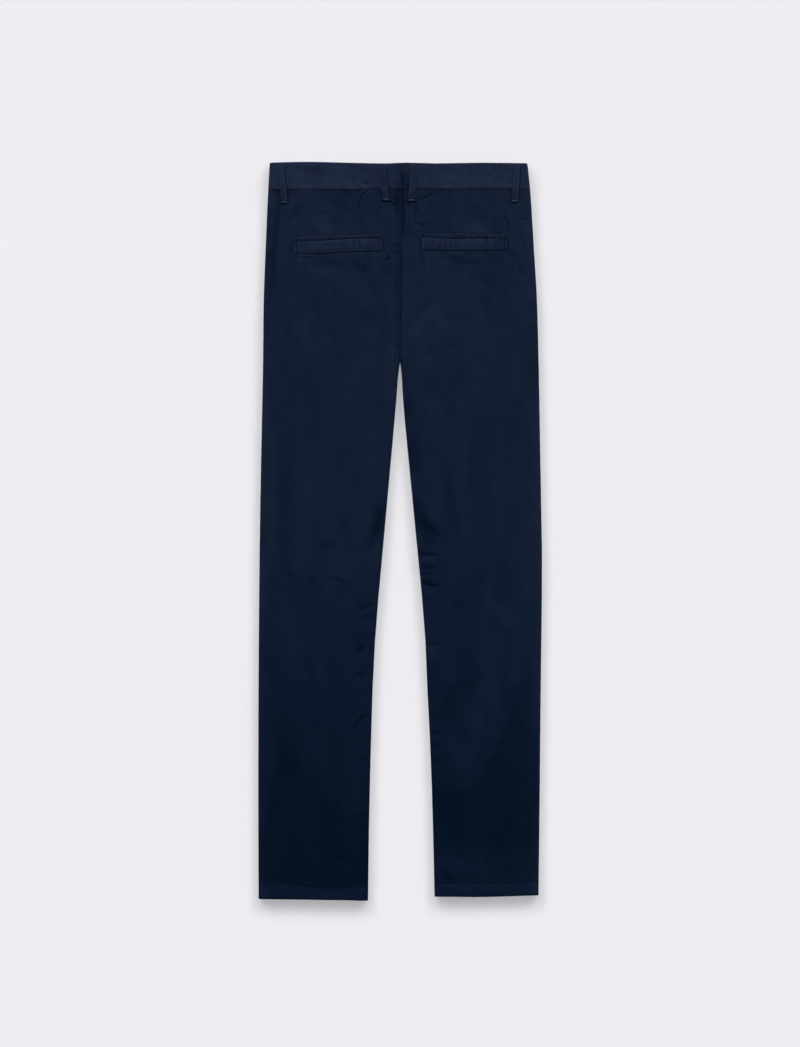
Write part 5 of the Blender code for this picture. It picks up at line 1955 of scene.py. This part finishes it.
# its outline from the middle to the rim and back, as shares of its radius and thickness
ButtonRing = namedtuple("ButtonRing", "reach height")
BUTTON_MIDDLE = 0.62
BUTTON_RINGS = rows_of(
    ButtonRing,
    (0.55, 0.60), (0.66, 0.50), (0.74, 0.14), (0.84, 0.02), (0.94, 0.12), (1.00, 0.42), (0.98, 0.78),
    (0.90, 1.00),
)
CROSS_REACH, CROSS_SHIFT, CROSS_HEIGHT, CROSS_LAYER, CROSS_RADIUS = 1.9, 0.34, 0.58, 0.2, 0.22


def button():
    x, y, _ = centre = point_on("left", "front", -BUTTON_X, BUTTON_DOWN, top=BAND_TOP, gap=0.0)
    points = [(x, y, BUTTON_THICK * BUTTON_MIDDLE)]
    for ring in BUTTON_RINGS:
        radius, height = BUTTON_RADIUS * ring.reach, BUTTON_THICK * ring.height
        turns = [2 * math.pi * k / BUTTON_SIDES for k in range(BUTTON_SIDES)]
        points += [(x + radius * math.cos(turn), y + radius * math.sin(turn), height) for turn in turns]
    points.append((x, y, BUTTON_THICK))
    faces = [(0, 1 + (k + 1) % BUTTON_SIDES, 1 + k) for k in range(BUTTON_SIDES)]
    last = 1 + (len(BUTTON_RINGS) - 1) * BUTTON_SIDES
    for first in range(1, last, BUTTON_SIDES):
        faces += ring_faces(first, BUTTON_SIDES)
    faces += [(last + k, last + (k + 1) % BUTTON_SIDES, len(points) - 1) for k in range(BUTTON_SIDES)]
    return mesh_object("button_disc", points, faces, button_material()), centre


def button_cross(centre):
    """Three threads each way, the second three over the first."""
    x, y, _ = centre
    starts, stops = [], []
    for way, layer in ((1, 0.0), (-1, CROSS_LAYER)):
        for shift in (-CROSS_SHIFT, 0.0, CROSS_SHIFT):
            height = BUTTON_THICK * CROSS_HEIGHT - layer
            starts.append((x - CROSS_REACH, y + way * (shift - CROSS_REACH), height))
            stops.append((x + CROSS_REACH, y + way * (shift + CROSS_REACH), height))
    return stitches("button_thread", starts, stops, -1.0, TACK_THREAD, CROSS_RADIUS)


disc, centre = button()
declare(disc, "button_resin", "waist_button")
declare(button_cross(centre), "band_twill")

for side in SIGN:
    declare_sheet(PANELS[side, "back"])
    declare_sheet(PANELS[side, "front"])
    ends = sum(inner_edge(side, face, PANEL_START + 0.5) for face in FACE_UP)
    band_length = 2 * side_edge(side, BAND_HEIGHT / 2) - ends
    declare_sheet(PANELS[side, "band"], (band_length, BAND_HEIGHT))

# The stage: floor, light and camera.

FLOOR_COLOUR = (0.855, 0.847, 0.888, 1.0)
FLOOR_HALF, FLOOR_Z = 6000.0, -0.2


def make_floor():
    looks = {"Base_Color": FLOOR_COLOUR, "Roughness": 1.0, "Specular_IOR_Level": 0.0}
    material, _, _ = new_material("floor_paper", **looks)
    corners = [(x * FLOOR_HALF, y * FLOOR_HALF, FLOOR_Z) for x, y in ((-1, -1), (1, -1), (1, 1), (-1, 1))]
    mesh_object("floor", corners, [(0, 1, 2, 3)], material)


OVERHEAD_SHARE, OVERHEAD_SPREAD = 0.438, 26.0
WINDOW_SHARE = 0.54
# the two windows' middles and half-widths, as slopes: sideways run for each unit of height
WINDOW_X, WINDOW_Y = 2.0, 3.0
WINDOW_WIDTH, WINDOW_HEIGHT = 1.0, 1.5
LOWEST_LIGHT = 0.03
# the pale backdrop: even from below up to a low height, then fading out
BACKDROP, BACKDROP_TOP, BACKDROP_FADE = 0.86, 0.12, 0.18


def square_of(tree, value, middle, spread):
    offset = calculate(tree, "DIVIDE", calculate(tree, "SUBTRACT", value, middle), spread)
    return calculate(tree, "MULTIPLY", offset, offset)


def make_light():
    """A lamp straight above, two soft windows low beyond the waist, and a pale backdrop all round."""
    world = bpy.data.worlds.new("studio")
    world.use_nodes = True
    bpy.context.scene.world = world
    tree = world.node_tree
    place = tree.nodes.new("ShaderNodeTexCoord")
    split = tree.nodes.new("ShaderNodeSeparateXYZ")
    tree.links.new(place.outputs["Generated"], split.inputs[0])
    x, y, z = (split.outputs[axis] for axis in "XYZ")
    height = calculate(tree, "MAXIMUM", z, LOWEST_LIGHT)
    run = calculate(tree, "ABSOLUTE", calculate(tree, "DIVIDE", x, height))
    rise = calculate(tree, "DIVIDE", y, height)
    sideways = square_of(tree, run, WINDOW_X, WINDOW_WIDTH)
    total = calculate(tree, "ADD", sideways, square_of(tree, rise, WINDOW_Y, WINDOW_HEIGHT))
    glow = calculate(tree, "EXPONENT", calculate(tree, "MULTIPLY", total, -0.5))
    windows = calculate(tree, "MULTIPLY", glow, WINDOW_SHARE / (4 * WINDOW_WIDTH * WINDOW_HEIGHT))
    windows = calculate(tree, "DIVIDE", windows, calculate(tree, "POWER", height, 4.0))
    windows = calculate(tree, "MULTIPLY", windows, calculate(tree, "GREATER_THAN", z, 0.0))
    rest = calculate(tree, "SUBTRACT", BACKDROP_TOP + BACKDROP_FADE, z)
    fade = tree.nodes.new("ShaderNodeClamp")
    tree.links.new(calculate(tree, "DIVIDE", rest, BACKDROP_FADE), fade.inputs["Value"])
    backdrop = calculate(tree, "MULTIPLY", fade.outputs["Result"], BACKDROP)
    background = tree.nodes["Background"]
    tree.links.new(calculate(tree, "ADD", windows, backdrop), background.inputs["Strength"])
    fill(background, {"Color": (1.0, 1.0, 1.0, 1.0)})
    light = bpy.data.lights.new("overhead", "SUN")
    light.energy = OVERHEAD_SHARE * math.pi
    light.angle = math.radians(OVERHEAD_SPREAD)
    bpy.context.scene.collection.objects.link(bpy.data.objects.new("overhead", light))


# the view's height in pixels, how much a pixel takes in, and the view's centre
VIEW_ROWS, MM_PER_PIXEL = 1047, 1.446
VIEW_CENTRE = Vector((-0.14, 11.9, PANEL_TOP)) * MM
LENS, SENSOR = 100.0, 36.0


def make_camera():
    camera = bpy.data.cameras.new("camera")
    camera.sensor_fit = "VERTICAL"
    camera.sensor_height = SENSOR
    camera.lens = LENS
    camera.clip_end = 100.0
    eye = bpy.data.objects.new("camera", camera)
    eye.location = VIEW_CENTRE + Vector((0, 0, LENS / SENSOR * VIEW_ROWS * MM_PER_PIXEL * MM))
    bpy.context.scene.collection.objects.link(eye)
    bpy.context.scene.camera = eye


make_floor()
make_light()
make_camera()
bpy.context.scene.view_settings.view_transform = "Standard"
